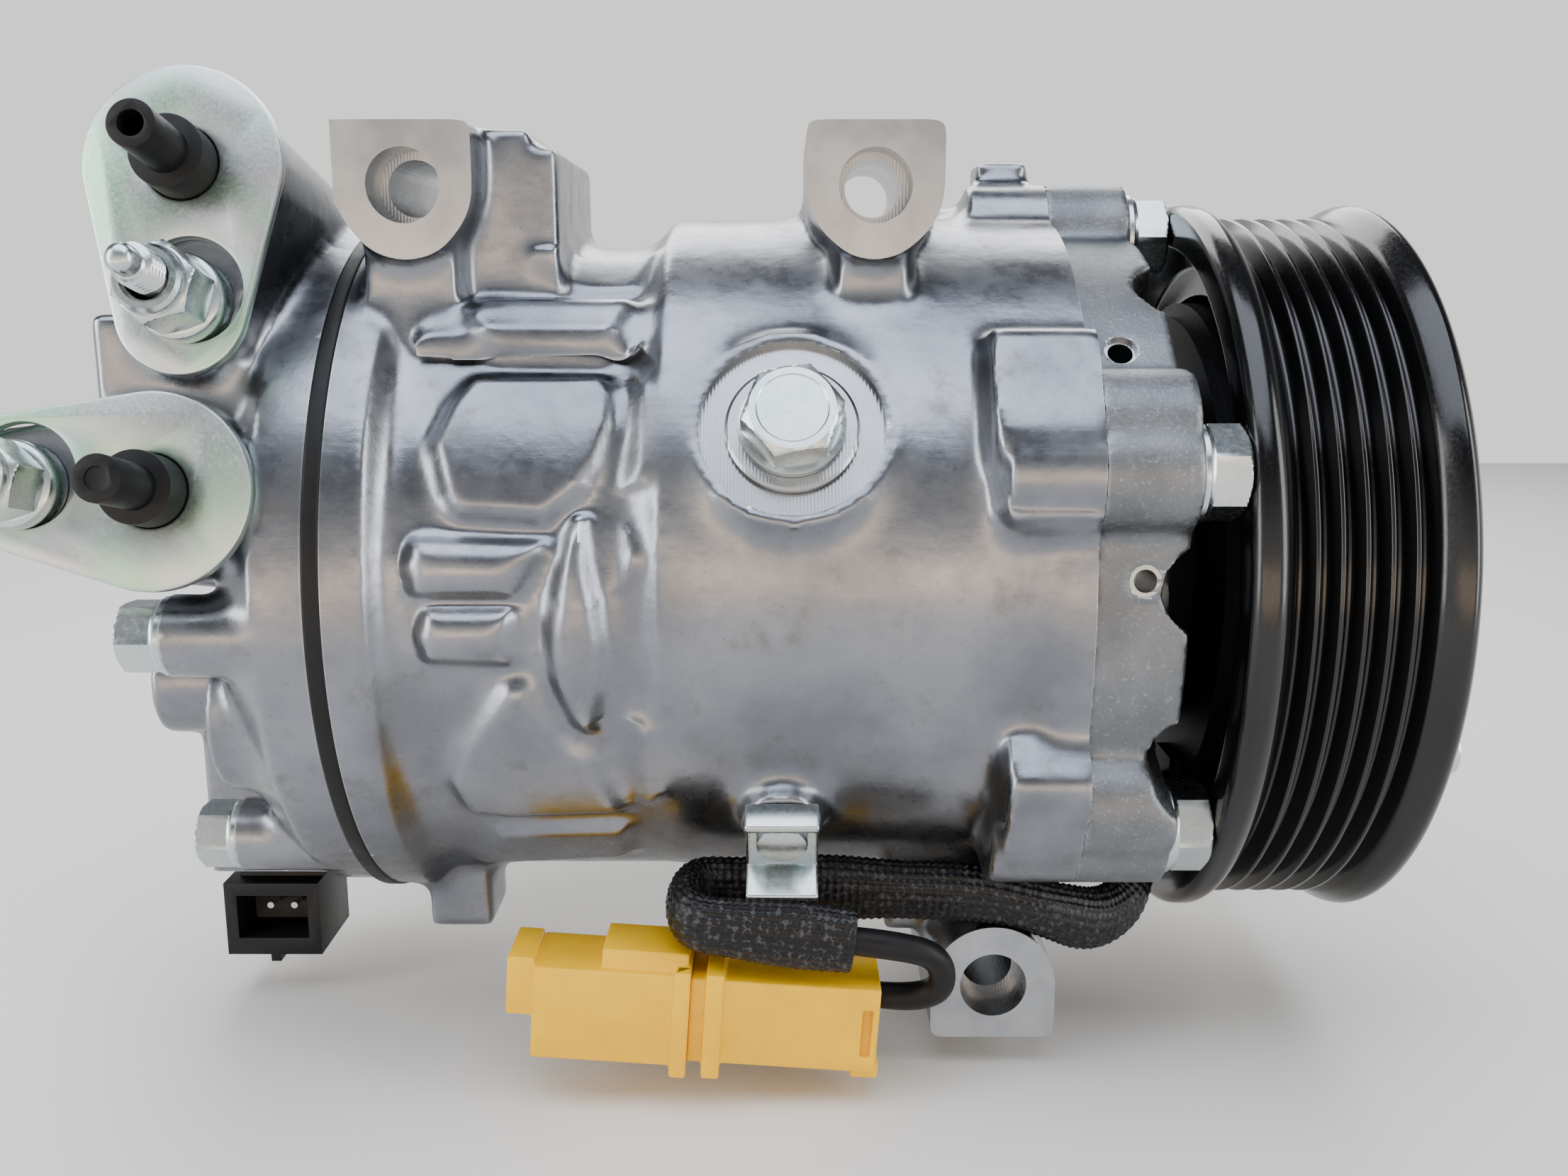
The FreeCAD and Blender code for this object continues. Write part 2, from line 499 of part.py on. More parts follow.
def rear_head():
    front = "(body_rear - seal_width)"
    core = turned("head_core", [
        (front, "0"), (front, "head_radius"), (f"{front} - head_skirt", "head_radius"),
        ("head_rear + 3", "head_radius - 3.5"), ("head_rear", "head_radius - 6.5"), ("head_rear", "30"),
        ("head_rear - 8", "27"), ("head_rear - 11", "20"), ("head_rear - 11", "0")])
    solids = [core]
    for i, angle in enumerate(head_bolt_angles()):
        solids.append(rod(f"head_boss_{i}", "head_boss_end", front, "head_boss_radius",
                          *around("head_bolt_circle", angle)))
    solids += [
        rod("head_lobe", "head_rear - 5", "head_rear + 6", "14", *around("39", -27)),
        rod("head_bulge", "head_rear - 24", "head_rear", "9.5", *around("24", -52)),
        block("valve_block", ("valve_x - 10.4", "valve_y - 11", "valve_bottom"),
              ("head_rear + 9", "valve_y + 11", "-10")),
        pear("suction_pillar", "20", "port_face", "-1.6", "suction_x", "suction_v", 0),
        pear("discharge_pillar", "5", "port_face", "-1.6", "discharge_x", "discharge_v", -94),
        block("port_bridge", ("-184", "-46", "18"), ("head_rear + 4", "-6", "44")),
    ]
    holes = [rod("discharge_chamber", f"{front} - chamber_depth", f"{front} + 1", "discharge_radius"),
             ring("suction_chamber", f"{front} - chamber_depth", f"{front} + 1", "suction_inner_radius",
                  "suction_outer_radius")]
    for i, angle in enumerate(head_bolt_angles()):
        holes.append(rod(f"head_hole_{i}", "head_boss_end - 12", f"{front} + 1", "head_bolt_radius + 0.35",
                         *around("head_bolt_circle", angle)))
    holes += [
        pear("suction_spotface", "port_face", "port_face + 9", "0.5", "suction_x", "suction_v", 0),
        pear("discharge_spotface", "port_face", "port_face + 9", "0.5", "discharge_x", "discharge_v", -94),
        rod_z("valve_bore", "valve_bottom - 1", "valve_top", "valve_radius", "valve_x", "valve_y"),
        port_rod("suction_port", "34", "port_face + 1", "port_hole", "suction_x", "suction_v"),
        port_rod("discharge_port", "34", "port_face + 1", "port_hole", "discharge_x", "discharge_v"),
        port_rod("suction_stud_hole", "42", "port_face + 1", "stud_radius", "suction_x + 0.7",
                 "suction_v - stud_pitch"),
        port_rod("discharge_stud_hole", "42", "port_face + 1", "stud_radius", "discharge_x - stud_pitch",
                 "discharge_v + 1.5"),
    ]
    node("rear_head", cut("rear_head", fuse("head_solid", solids), holes))


def plate(name, start, end, ports):
    """A round plate of the valve stack, with bolt holes and one port for each cylinder."""
    disc = rod(name + "_disc", start, end, "seal_inner_radius - 0.2")
    holes = [rod(f"{name}_bolt_{i}", f"{start} - 1", f"{end} + 1", "head_bolt_radius + 0.3",
                 *around("head_bolt_circle", a)) for i, a in enumerate(head_bolt_angles())]
    for circle, radius in ports:
        holes += [rod(f"{name}_port_{circle}_{i}", f"{start} - 1", f"{end} + 1", radius, *around(circle, a))
                  for i, a in enumerate(piston_angles())]
    node(name, cut(name, disc, holes))


def valve_stack():
    plate("suction_reed_plate", "body_rear - reed_thickness", "body_rear", (("28", "3.6"),))
    plate("valve_plate", "body_rear - seal_width + reed_thickness", "body_rear - reed_thickness",
          (("28", "2.6"), ("42.2", "3.4")))
    plate("discharge_reed_plate", "body_rear - seal_width", "body_rear - seal_width + reed_thickness",
          (("42.2", "3.8"),))
    disc = rod("retainer_disc", "body_rear - seal_width - 1.4", "body_rear - seal_width", "31.5")
    cuts = [rod(f"retainer_gap_{i}", "body_rear - seal_width - 3", "body_rear", "5.2", *around("30", a))
            for i, a in enumerate(head_bolt_angles())]
    node("discharge_reed_retainer", cut("discharge_reed_retainer", disc, cuts))
    node("joint_seal", ring("joint_seal", "body_rear - seal_width", "body_rear", "seal_inner_radius",
                            "rear_band_radius + 0.3"))


def ports():
    """Shipping plates, rubber plugs, studs and nuts on the two line ports."""
    top = "(port_face + port_plate)"
    spots = {
        "suction": ("suction_x", "suction_v", 0, "suction_x + 0.7", "suction_v - stud_pitch"),
        "discharge": ("discharge_x", "discharge_v", -94, "discharge_x - stud_pitch", "discharge_v + 1.5"),
    }
    nuts, studs = [], []
    for name, (x, v, spin, stud_x, stud_v) in spots.items():
        flat = pear(name + "_blank", "port_face", top, "0", x, v, spin)
        holes = [port_rod(name + "_plate_hole", "port_face - 1", f"{top} + 1", "5.35", x, v),
                 port_rod(name + "_plate_slot", "port_face - 1", f"{top} + 1", "7.6", f"{stud_x} + 0.7",
                          f"{stud_v} + 0.7")]
        node(name + "_port_plate", cut(name + "_port_plate", flat, holes))
        solids = [port_rod(name + "_plug_stem", "port_face - 9", "port_face", "5.5", x, v),
                  port_rod(name + "_plug_waist", "port_face", f"{top} + 5.4", "5.25", x, v),
                  port_rod(name + "_plug_tube", f"{top} + 5.4", f"{top} + 16", "3.3", x, v)]
        plug = fuse(name + "_plug_solid", solids)
        depth = "12" if name == "suction" else "0.4"
        radius = "1.8" if name == "suction" else "1.6"
        hole = port_rod(name + "_plug_hole", f"{top} + 16 - {depth}", f"{top} + 17", radius, x, v)
        node(name + "_port_plug", cut(name + "_port_plug", plug, [hole]))
        studs.append(port_rod(name + "_port_stud", "44", f"{top} + 21", "stud_radius - 0.02", stud_x, stud_v))
        base = port_rod(name + "_nut_base", "port_face", "port_face + 5", "6.4", stud_x, stud_v)
        body = port_rod(name + "_nut_hex", "port_face + 5", "port_face + 13", "nut_across", stud_x, stud_v,
                        "Part::Prism")
        collar = port_rod(name + "_nut_collar", "port_face + 13", "port_face + 15", "4.8", stud_x, stud_v)
        bore = port_rod(name + "_nut_bore", "port_face - 1", "port_face + 16", "stud_radius", stud_x, stud_v)
        nuts.append(cut(name + "_nut", fuse(name + "_nut_solid", [base, body, collar]), [bore]))
    node("port_studs", group("port_studs", studs))
    node("port_nuts", group("port_nuts", nuts))


def control_valve():
    """Displacement control valve in its bore, with its plug-in connector below."""
    body = rod_z("valve_rod", "valve_bottom", "valve_top - 0.5", "valve_radius - 0.05", "valve_x", "valve_y")
    seals = []
    grooves = []
    for i, height in enumerate(("7", "18", "29")):
        low = f"valve_bottom + {height}"
        ends = (low, f"{low} + 1.8")
        groove = cut(f"valve_groove_{i}",
                     rod_z(f"groove_out_{i}", *ends, "valve_radius + 1", "valve_x", "valve_y"),
                     [rod_z(f"groove_in_{i}", f"{low} - 1", f"{low} + 3", "valve_radius - 1.1", "valve_x",
                            "valve_y")])
        grooves.append(groove)
        seals.append(cut(f"valve_seal_{i}", rod_z(f"seal_out_{i}", *ends, "valve_radius", "valve_x", "valve_y"),
                         [rod_z(f"seal_in_{i}", f"{low} - 1", f"{low} + 3", "valve_radius - 1.1", "valve_x",
                                "valve_y")]))
    node("control_valve", cut("control_valve", body, grooves))
    node("control_valve_o_rings", group("control_valve_o_rings", seals))
    floor = "valve_bottom"
    neck = block("connector_neck", ("valve_x - 7.2", "valve_y - 6.4", f"{floor} - 2.8"),
                 ("valve_x + 8", "valve_y + 6.4", floor))
    shell = block("connector_shell", ("valve_x - 9", "valve_y - 10", f"{floor} - 16.6"),
                  ("valve_x + 8.2", "valve_y + 6.6", f"{floor} - 2.8"))
    key = block("connector_key", ("valve_x - 1.4", "valve_y - 9.5", f"{floor} - 18.2"),
                ("valve_x + 0.4", "valve_y + 1", f"{floor} - 16.6"))
    socket = block("connector_socket", ("valve_x - 6.8", "valve_y - 11", f"{floor} - 13.4"),
                   ("valve_x + 6", "valve_y - 1", f"{floor} - 5.2"))
    pins, slots = [[rod_y(f"valve_{word}_{i}", "valve_y - 4.8", "valve_y + 1", "0.6", f"valve_x + {x}",
                          f"{floor} - 9.3") for i, x in enumerate((-2.6, 1.8))]
                   for word in ("pin", "pin_hole")]
    node("control_valve_connector", cut("control_valve_connector", fuse("connector_solid", [neck, shell, key]),
                                        [socket] + slots))
    node("control_valve_pins", group("control_valve_pins", pins))


# ---- rotating group --------------------------------------------------------------------------------

def drive_shaft():
    node("drive_shaft", turned("drive_shaft", [
        ("shaft_rear", "0"), ("shaft_rear", "shaft_radius - 0.6"), ("shaft_rear + 0.6", "shaft_radius"),
        ("-10", "shaft_radius"), ("-9", "shaft_front_radius"), ("hub_rear", "shaft_front_radius"),
        ("hub_rear", "shaft_hub_radius"), ("19", "shaft_hub_radius"), ("19", "shaft_thread_radius"),
        ("shaft_front - 0.6", "shaft_thread_radius"), ("shaft_front", "shaft_thread_radius - 0.6"),
        ("shaft_front", "0")]))


def bearings():
    gap = "shaft_radius + running_gap"
    node("front_radial_bearing", ring("front_radial_bearing", "-33", "-14.5", gap, "seal_bore_radius"))
    node("rear_radial_bearing", ring("rear_radial_bearing", "block_front - 20", "block_front - 0.5", gap,
                                     "rear_bearing_radius"))
    node("front_thrust_bearing", ring("front_thrust_bearing", "lug_front + 0.1", "body_front", "14", "24"))
    node("rear_thrust_bearing", ring("rear_thrust_bearing", "block_front", "block_front + 2.6",
                                     "shaft_radius + 0.1", "15.5"))
    node("shaft_stop_ring", ring("shaft_stop_ring", "block_front + 2.7", "block_front + 4.5", "shaft_radius",
                                 "12"))
    node("shaft_seal", turned("shaft_seal", [
        ("-8", "shaft_front_radius + running_gap"), ("-8", "seal_bore_radius"), ("2.4", "seal_bore_radius"),
        ("2.4", "10.6"), ("-5.6", "10.6"), ("-4.4", "8.6"), ("-1", "shaft_front_radius + running_gap")]))
    node("shaft_seal_ring", ring("shaft_seal_ring", "2.4", "3.6", "11.6", "seal_bore_radius + 0.7"))


def lug_plate():
    """The driven plate whose two cheeks carry the swash plate's hinge pin."""
    rear = "(lug_front - lug_thickness)"
    disc = ring("lug_disc", rear, "lug_front", "shaft_radius", "lug_radius")
    cheeks = [block(f"lug_cheek_{i}", ("lug_pin_x - 5.5", low, "12.4"), (f"{rear} + 1", high, "26"))
              for i, (low, high) in enumerate((("-10", "-5.8"), ("5.8", "10")))]
    weight = block("lug_weight", (f"{rear} - 5", "-14", "-31"), (f"{rear} + 1", "14", "-15"))
    hole = rod_y("lug_hole", "-12", "12", "lug_pin_radius", "lug_pin_x", "lug_pin_offset")
    node("lug_plate", cut("lug_plate", fuse("lug_solid", [disc, weight] + cheeks), [hole]))
    node("lug_hinge_pin", rod_y("lug_hinge_pin", "-10.6", "10.6", "lug_pin_radius", "lug_pin_x",
                                "lug_pin_offset"))


def swash_plate():
    half = "swash_thickness / 2"
    disc = turned("swash_disc", [
        ("swash_x - 8", "sleeve_radius"), ("swash_x - 8", "swash_hub_radius"),
        (f"swash_x - {half}", "swash_hub_radius"), (f"swash_x - {half}", "swash_radius"),
        (f"swash_x + {half}", "swash_radius"), (f"swash_x + {half}", "swash_hub_radius"),
        ("swash_x + 8", "swash_hub_radius"), ("swash_x + 8", "sleeve_radius")])
    arm = block("swash_arm", ("swash_x + 5", "-5.4", "13.6"), ("lug_pin_x + 3.8", "5.4", "20.4"))
    eye = block("swash_eye", ("lug_pin_x - 5", "-5.4", "13.6"), ("lug_pin_x + 3.8", "5.4", "23.2"))
    hole = rod_y("swash_hole", "-7", "7", "lug_pin_radius", "lug_pin_x", "lug_pin_offset")
    node("swash_plate", cut("swash_plate", fuse("swash_solid", [disc, arm, eye]), [hole]))
    node("swash_sleeve", ring("swash_sleeve", "swash_x - 9.4", "swash_x + 10.4", "shaft_radius",
                              "sleeve_radius"))


def return_spring():
    """Coil spring between the lug plate and the swash plate's sleeve."""
    start, end = number("swash_x + 10.4"), number("lug_front - lug_thickness")
    wire = number("spring_wire")
    middle = number("shaft_radius") + wire
    pitch = wire * 2.2
    length = end - start - wire
    helix = Part.makeHelix(pitch, length, middle)
    section = Part.Wire(Part.Circle(FreeCAD.Vector(middle, 0, 0), FreeCAD.Vector(0, 1, 0), wire / 2).toShape())
    coil = Part.Wire(helix).makePipeShell([section], True, True)
    coil.rotate(FreeCAD.Vector(0, 0, 0), FreeCAD.Vector(0, 1, 0), 90)
    coil.translate(FreeCAD.Vector(start + wire / 2, 0, 0))
    item = doc.addObject("Part::Feature", "return_spring")
    item.Shape = coil
    node("return_spring", item)


def pistons():
    """Seven double-shoe pistons, each astride the rim of the swash plate."""
    bodies, shoes, rings = [], [], []
    half = "swash_thickness / 2"
    for i, angle in enumerate(piston_angles(), start=1):
        spot = around("bore_pitch", angle)
        body = rod(f"piston_rod_{i}", "piston_crown", "tail_end", "bore_radius - piston_gap", *spot)
        slot = rod(f"piston_slot_{i}", f"swash_x - {half} - 0.5", f"swash_x + {half} + 0.5", "swash_radius + 0.6")
        pocket = ball(f"piston_pocket_{i}", "shoe_ball_radius + shoe_gap", "swash_x", *spot)
        groove = ring_at(f"piston_groove_{i}", "piston_crown + 3", "piston_crown + 3 + ring_width",
                         "bore_radius - ring_depth", "bore_radius + 1", spot)
        bodies.append(cut(f"piston_{i}", body, [slot, pocket, groove]))
        slab = rod(f"shoe_slab_{i}", f"swash_x - {half} - shoe_gap", f"swash_x + {half} + shoe_gap", "60")
        shoes.append(cut(f"shoe_pair_{i}", ball(f"shoe_ball_{i}", "shoe_ball_radius", "swash_x", *spot), [slab]))
        rings.append(ring_at(f"piston_ring_{i}", "piston_crown + 3", "piston_crown + 3 + ring_width",
                             "bore_radius - ring_depth", "bore_radius", spot))
    node("pistons", group("pistons", bodies))
    node("piston_shoes", group("piston_shoes", shoes))
    node("piston_rings", group("piston_rings", rings))


def ball(name, radius, x, y, z):
    item = doc.addObject("Part::Sphere", name)
    bind(item, "Radius", radius)
    place(item, x, y, z)
    return item


def ring_at(name, start, end, inner, outer, spot):
    return cut(name, rod(name + "_outer", start, end, outer, *spot),
               [rod(name + "_inner", f"{start} - 1", f"{end} + 1", inner, *spot)])


# ---- clutch ----------------------------------------------------------------------------------------

def pulley_outline():
    """Half section of the pulley, with the belt's V grooves between rounded rims."""
    half, rim = "3 * belt_pitch", "rib_radius + rim_height"
    root = "rib_radius - groove_depth"
    outline = [("-bearing_half_width", BEARING_OUTER), ("bearing_half_width", BEARING_OUTER),
               ("bearing_half_width", f"{BEARING_OUTER} - 1.6"), ("friction_face", f"{BEARING_OUTER} - 1.6"),
               ("friction_face", "rim_recess_radius"), ("pulley_front - 0.8", "rim_recess_radius + 1.6"),
               ("pulley_front", "rim_recess_radius + 2.6"), ("pulley_front", f"{rim} - 1.6"),
               ("pulley_front - 1", f"{rim} - 0.3"), ("pulley_front - 2", rim),
               ("pulley_front - 2 - 1.2", f"{rim} - 0.5")]
    for i in range(6):
        middle = f"{half} - belt_pitch * {i + 0.5}"
        outline += [(f"{middle} + belt_pitch * 0.42", "rib_radius"), (f"{middle} + 0.35", root),
                    (f"{middle} - 0.35", root), (f"{middle} - belt_pitch * 0.42", "rib_radius")]
    outline += [("-(3 * belt_pitch) - 1.3", f"{rim} - 0.5"), ("-(3 * belt_pitch) - 2.5", rim),
                ("pulley_rear + 1.2", f"{rim} - 0.1"), ("pulley_rear", f"{rim} - 1.4"),
                ("pulley_rear", "rib_radius - 4.6"), ("pulley_rear + 7", "coil_cavity_radius + 5.4"),
                ("pulley_rear + 7", "coil_cavity_radius"),
                ("friction_face - friction_wall", "coil_cavity_radius"),
                ("friction_face - friction_wall", f"{BEARING_OUTER} + pulley_hub_wall"),
                ("-bearing_half_width", f"{BEARING_OUTER} + pulley_hub_wall")]
    return outline


def pulley():
    body = turned("pulley_turned", pulley_outline())
    slots = []
    for i in range(8):
        angle = 45.0 * i
        slots.append(rod(f"flux_hole_{i}", "friction_face - friction_wall - 1", "friction_face + 1", "2.4",
                         *around("38.2", angle)))
    node("pulley", cut("pulley", body, slots))


def pulley_bearing():
    race = "bearing_inner_radius + race_thickness"
    outer_race = f"{BEARING_OUTER} - race_thickness"
    middle = f"(bearing_inner_radius + {BEARING_OUTER}) / 2"
    ends = ("-bearing_half_width", "bearing_half_width")
    tracks = []
    balls = []
    pockets = []
    cages = []
    for side, row in (("front", "ball_row"), ("rear", "-ball_row")):
        for use in ("inner", "outer"):
            track = doc.addObject("Part::Torus", f"{side}_{use}_track")
            bind(track, "Radius1", middle)
            bind(track, "Radius2", "ball_radius + ball_gap")
            track.Placement.Rotation = FreeCAD.Rotation(FreeCAD.Vector(0, 1, 0), 90)
            place(track, row)
            tracks.append(track)
        for i in range(14):
            spot = around(middle, 360.0 / 14 * i)
            balls.append(ball(f"{side}_ball_{i}", "ball_radius", row, *spot))
            pockets.append(ball(f"{side}_pocket_{i}", "ball_radius + 0.05", row, *spot))
        cages.append(ring(f"{side}_cage_band", f"{row} - 2.2", f"{row} + 2.2", f"{middle} - 0.6", f"{middle} + 0.6"))
    node("pulley_bearing_inner", cut("pulley_bearing_inner", ring("inner_race", *ends, "bearing_inner_radius", race),
                                     [tracks[0], tracks[2]]))
    node("pulley_bearing_outer", cut("pulley_bearing_outer",
                                     ring("outer_race", *ends, outer_race, BEARING_OUTER),
                                     [tracks[1], tracks[3]]))
    node("pulley_bearing_balls", group("pulley_bearing_balls", balls))
    node("pulley_bearing_cage", cut("pulley_bearing_cage", group("cage_bands", cages), pockets))
    node("bearing_circlip", ring("bearing_circlip", "bearing_half_width", "bearing_half_width + clip_thickness",
                                 "bearing_inner_radius - 0.8", "bearing_inner_radius + 1.9"))


def field_coil():
    front, rear = "coil_front", "coil_plate_rear + coil_plate_thickness"
    coil = ring("coil_ring", rear, front, "coil_inner_radius", "coil_outer_radius")
    back = ring("coil_plate", "coil_plate_rear", rear, "coil_seat_radius", "coil_plate_radius")
    outlet = block("coil_outlet", ("coil_plate_rear - 1.6", "-23.2", "-40"), ("coil_plate_rear", "-14.2", "-31"))
    node("field_coil", fuse("field_coil", [coil, back, outlet]))
    start = "coil_plate_rear + coil_plate_thickness"
    node("coil_circlip", ring("coil_circlip", start, f"{start} + clip_thickness", "coil_seat_radius - 0.9",
                              "coil_seat_radius + 2.4"))


def clutch_hub():
    rear = "(friction_face + clutch_gap + armature_thickness + spring_thickness + 0.1)"
    node("clutch_hub", turned("clutch_hub", [
        ("hub_rear", "shaft_hub_radius"), ("hub_rear", "hub_tube"), (rear, "hub_tube"), (rear, "hub_radius"),
        (f"{rear} + hub_flange", "hub_radius"), (f"{rear} + hub_flange + 0.6", "hub_radius - 1"),
        (f"{rear} + hub_flange + 0.6", "8.2"), ("18.6", "8.2"), ("18.6", "shaft_hub_radius")]))
    washer = rod("shaft_nut_flange", "19", "20.4", "7.6")
    head = hexagon("shaft_nut_hex", "20.4", "23.4", "5.8")
    bore = rod("shaft_nut_bore", "18", "25", "shaft_thread_radius")
    node("shaft_nut", cut("shaft_nut", fuse("shaft_nut_solid", [washer, head]), [bore]))


def armature():
    """Armature disc, its three-armed leaf spring and the rivets that join them."""
    rear = "(friction_face + clutch_gap)"
    front = f"({rear} + armature_thickness)"
    disc = ring("armature_disc", rear, front, "armature_bore_radius", "armature_radius")
    holes = []
    slots = []
    arms = [ring("spring_hub", front, f"{front} + spring_thickness", "hub_tube + 0.6", "hub_radius + 6")]
    for i in range(3):
        angle = 90.0 + 120.0 * i
        spot = around("rivet_circle", angle)
        holes.append(rod(f"rivet_hole_{i}", f"{rear} - 1", f"{front} + 4", "rivet_radius - 1.4", *spot))
        for j in range(4):
            slots.append(rod(f"armature_slot_{i}_{j}", f"{rear} - 1", f"{front} + 1", "2.2",
                             *around("38.2", angle + 39 + 14 * j)))
        arm = block(f"spring_arm_{i}", (front, "0", "-spring_arm"),
                    (f"{front} + spring_thickness", "rivet_circle", "spring_arm"))
        arm.Placement.Rotation = FreeCAD.Rotation(FreeCAD.Vector(1, 0, 0), 180 - angle)
        turn = f"({180 - angle})"
        place(arm, front, f"spring_arm * sin({turn})", f"-spring_arm * cos({turn})")
        arms += [arm, rod(f"spring_pad_{i}", front, f"{front} + spring_thickness", "spring_arm", *spot)]
    clear = rod("spring_clear", f"{front} - 1", f"{front} + 3", "hub_tube + 0.6")
    node("armature_plate", cut("armature_plate", disc, holes + slots))
    holes_again = [rod(f"spring_hole_{i}", f"{front} - 1", f"{front} + 3", "rivet_radius - 1.4",
                       *around("rivet_circle", 90.0 + 120.0 * i)) for i in range(3)]
    node("clutch_leaf_spring", cut("clutch_leaf_spring", fuse("spring_solid", arms), holes_again + [clear]))
    rivets = []
    for i in range(3):
        spot = around("rivet_circle", 90.0 + 120.0 * i)
        head = rod(f"rivet_head_{i}", f"{front} + spring_thickness",
                   f"{front} + spring_thickness + rivet_head", "rivet_radius", *spot)
        stem = rod(f"rivet_stem_{i}", f"{rear} + 0.3", f"{front} + spring_thickness", "rivet_radius - 1.4", *spot)
        rivets.append(fuse(f"rivet_{i}", [head, stem]))
    node("clutch_rivets", group("clutch_rivets", rivets))


# ---- harness ---------------------------------------------------------------------------------------

SLEEVE_ROUTE = [(-20.6, -19.5, -42.0), (-21.0, -25.0, -52.5), (-29.0, -31.5, -57.5), (-40.0, -37.6, -52.0),
                (-50.0, -38.2, -49.0), (-64.0, -38.2, -48.4), (-78.0, -38.8, -47.8), (-90.0, -40.2, -47.0),
                (-98.0, -41.2, -46.6), (-98.2, -52.4, -47.6), (-89.5, -53.0, -48.6), (-72.0, -52.4, -50.8)]
LEAD_ROUTE = [(-72.0, -52.4, -50.8), (-65.1, -52.2, -51.7), (-58.5, -51.0, -54.0), (-57.4, -49.0, -60.4),
              (-62.5, -47.0, -63.2), (-68.0, -46.2, -62.9)]
COIL_TAIL = [(-16.6, -18.7, -35.5), (-19.6, -18.9, -37.4), (-20.6, -19.5, -42.0)]


def harness():
    node("coil_lead_sleeve", tube("coil_lead_sleeve", SLEEVE_ROUTE, number("sleeve_diameter")))
    ends = [tube("coil_lead_end", LEAD_ROUTE, number("lead_diameter")),
            tube("coil_lead_root", COIL_TAIL, number("lead_diameter"))]
    node("coil_lead", group("coil_lead", ends))


def slab(name, x0, x1, side0, side1, low, high, angle):
    """A box that lies square to the radius at an angle: its sides run along X, around the shaft and outwards."""
    item = doc.addObject("Part::Box", name)
    for prop, a, b in (("Length", x0, x1), ("Width", side0, side1), ("Height", low, high)):
        bind(item, prop, f"({b}) - ({a})")
    item.Placement.Rotation = FreeCAD.Rotation(FreeCAD.Vector(1, 0, 0), 45)
    bind(item, "Placement.Rotation.Angle", f"90 - ({angle})")
    place(item, x0, f"({side0}) * sin({angle}) - ({low}) * cos({angle})",
          f"({side0}) * cos({angle}) + ({low}) * sin({angle})")
    return item


def bracket():
    """The sheet-metal clip that holds the sleeve against its pad on the casting."""
    seat, sheet_top = "barrel_radius + clip_stand", "barrel_radius + clip_stand + clip_sheet"
    ends = ("clip_x - clip_half_width", "clip_x + clip_half_width")
    base = slab("clip_base", *ends, "-7.5", "6", seat, sheet_top, "clip_angle")
    lip = slab("clip_lip", *ends, "-7.5 - clip_sheet", "-7.5", seat, f"{sheet_top} + 6", "clip_angle")
    tab = slab("clip_tab", *ends, "6 - clip_sheet", "6", sheet_top, f"{sheet_top} + 3", "clip_angle")
    hole = radial("clip_base_hole", f"{seat} - 2.4", f"{sheet_top} + 4", "2", "clip_x", "clip_angle")
    node("harness_clip", cut("harness_clip", fuse("clip_solid", [base, lip, tab]), [hole]))
    shank = radial("clip_screw_shank", f"{seat} - 7.4", sheet_top, "1.98", "clip_x", "clip_angle")
    head = radial("clip_screw_head", sheet_top, f"{sheet_top} + 2.2", "3.9", "clip_x", "clip_angle")
    node("harness_clip_screw", fuse("harness_clip_screw", [shank, head]))


def tilted(name, items, holes):
    """A piece of the harness plug, drawn level and then leaned by the plug's tilt."""
    solid = fuse(name + "_solid", items)
    shape = cut(name + "_level", solid, holes) if holes else solid
    item = group(name, [shape])
    item.Placement.Rotation = FreeCAD.Rotation(FreeCAD.Vector(0, 1, 0), 4)
    bind(item, "Placement.Rotation.Angle", "plug_tilt")
    place(item, "-96.5", "-47", "-63")
    return item


def plug():
    """Two-way harness plug: the coil's half and the fixed half latched to it.  Drawn about its middle."""
    shell = block("plug_shell", ("-25.4", "-6.5", "-8.6"), ("-1.5", "6.5", "6.6"))
    nose = block("plug_nose", ("-29.6", "-5.6", "-2"), ("-25.4", "5.6", "7.6"))
    latch = block("plug_latch", ("-15", "-5", "6.6"), ("-1.5", "5", "9.6"))
    rib = block("plug_rib", ("-3.6", "-7.6", "-10"), ("-1", "7.6", "7.6"))
    toe = block("plug_toe", ("-18", "-4", "-9.6"), ("-15", "4", "-8.6"))
    mouth = block("plug_mouth", ("-31", "-4", "-0.6"), ("-14", "4", "5"))
    blades, slots = [[block(f"plug_{word}_{i}", ("-24", y, "1.6"), ("-12", f"{y} + 0.8", "3.2"))
                      for i, y in enumerate((-2.6, 1.8))] for word in ("blade", "blade_slot")]
    node("harness_plug_fixed_half", tilted("harness_plug_fixed_half", [shell, nose, latch, rib, toe],
                                           [mouth] + slots))
    node("harness_plug_blades", tilted_group("harness_plug_blades", blades))
    barrel = block("plug_barrel", ("-1", "-6.2", "-7.8"), ("28.6", "6.2", "6.2"))
    collar = block("plug_collar", ("1.4", "-7.6", "-9.8"), ("4.2", "7.6", "7.6"))
    foot = block("plug_foot", ("25", "-3", "-10.6"), ("29.4", "3", "-7.8"))
    window = block("plug_window", ("26", "-7", "-5.4"), ("27.6", "-4.6", "2.6"))
    exit_hole = rod("plug_exit", "22", "30", "lead_diameter / 2 + 0.1", "0.9", "0.2")
    node("harness_plug_cable_half", tilted("harness_plug_cable_half", [barrel, collar, foot],
                                           [window, exit_hole]))


def tilted_group(name, items):
    item = group(name, items)
    item.Placement.Rotation = FreeCAD.Rotation(FreeCAD.Vector(0, 1, 0), 4)
    bind(item, "Placement.Rotation.Angle", "plug_tilt")
    place(item, "-96.5", "-47", "-63")
    return item


# ---- build -----------------------------------------------------------------------------------------

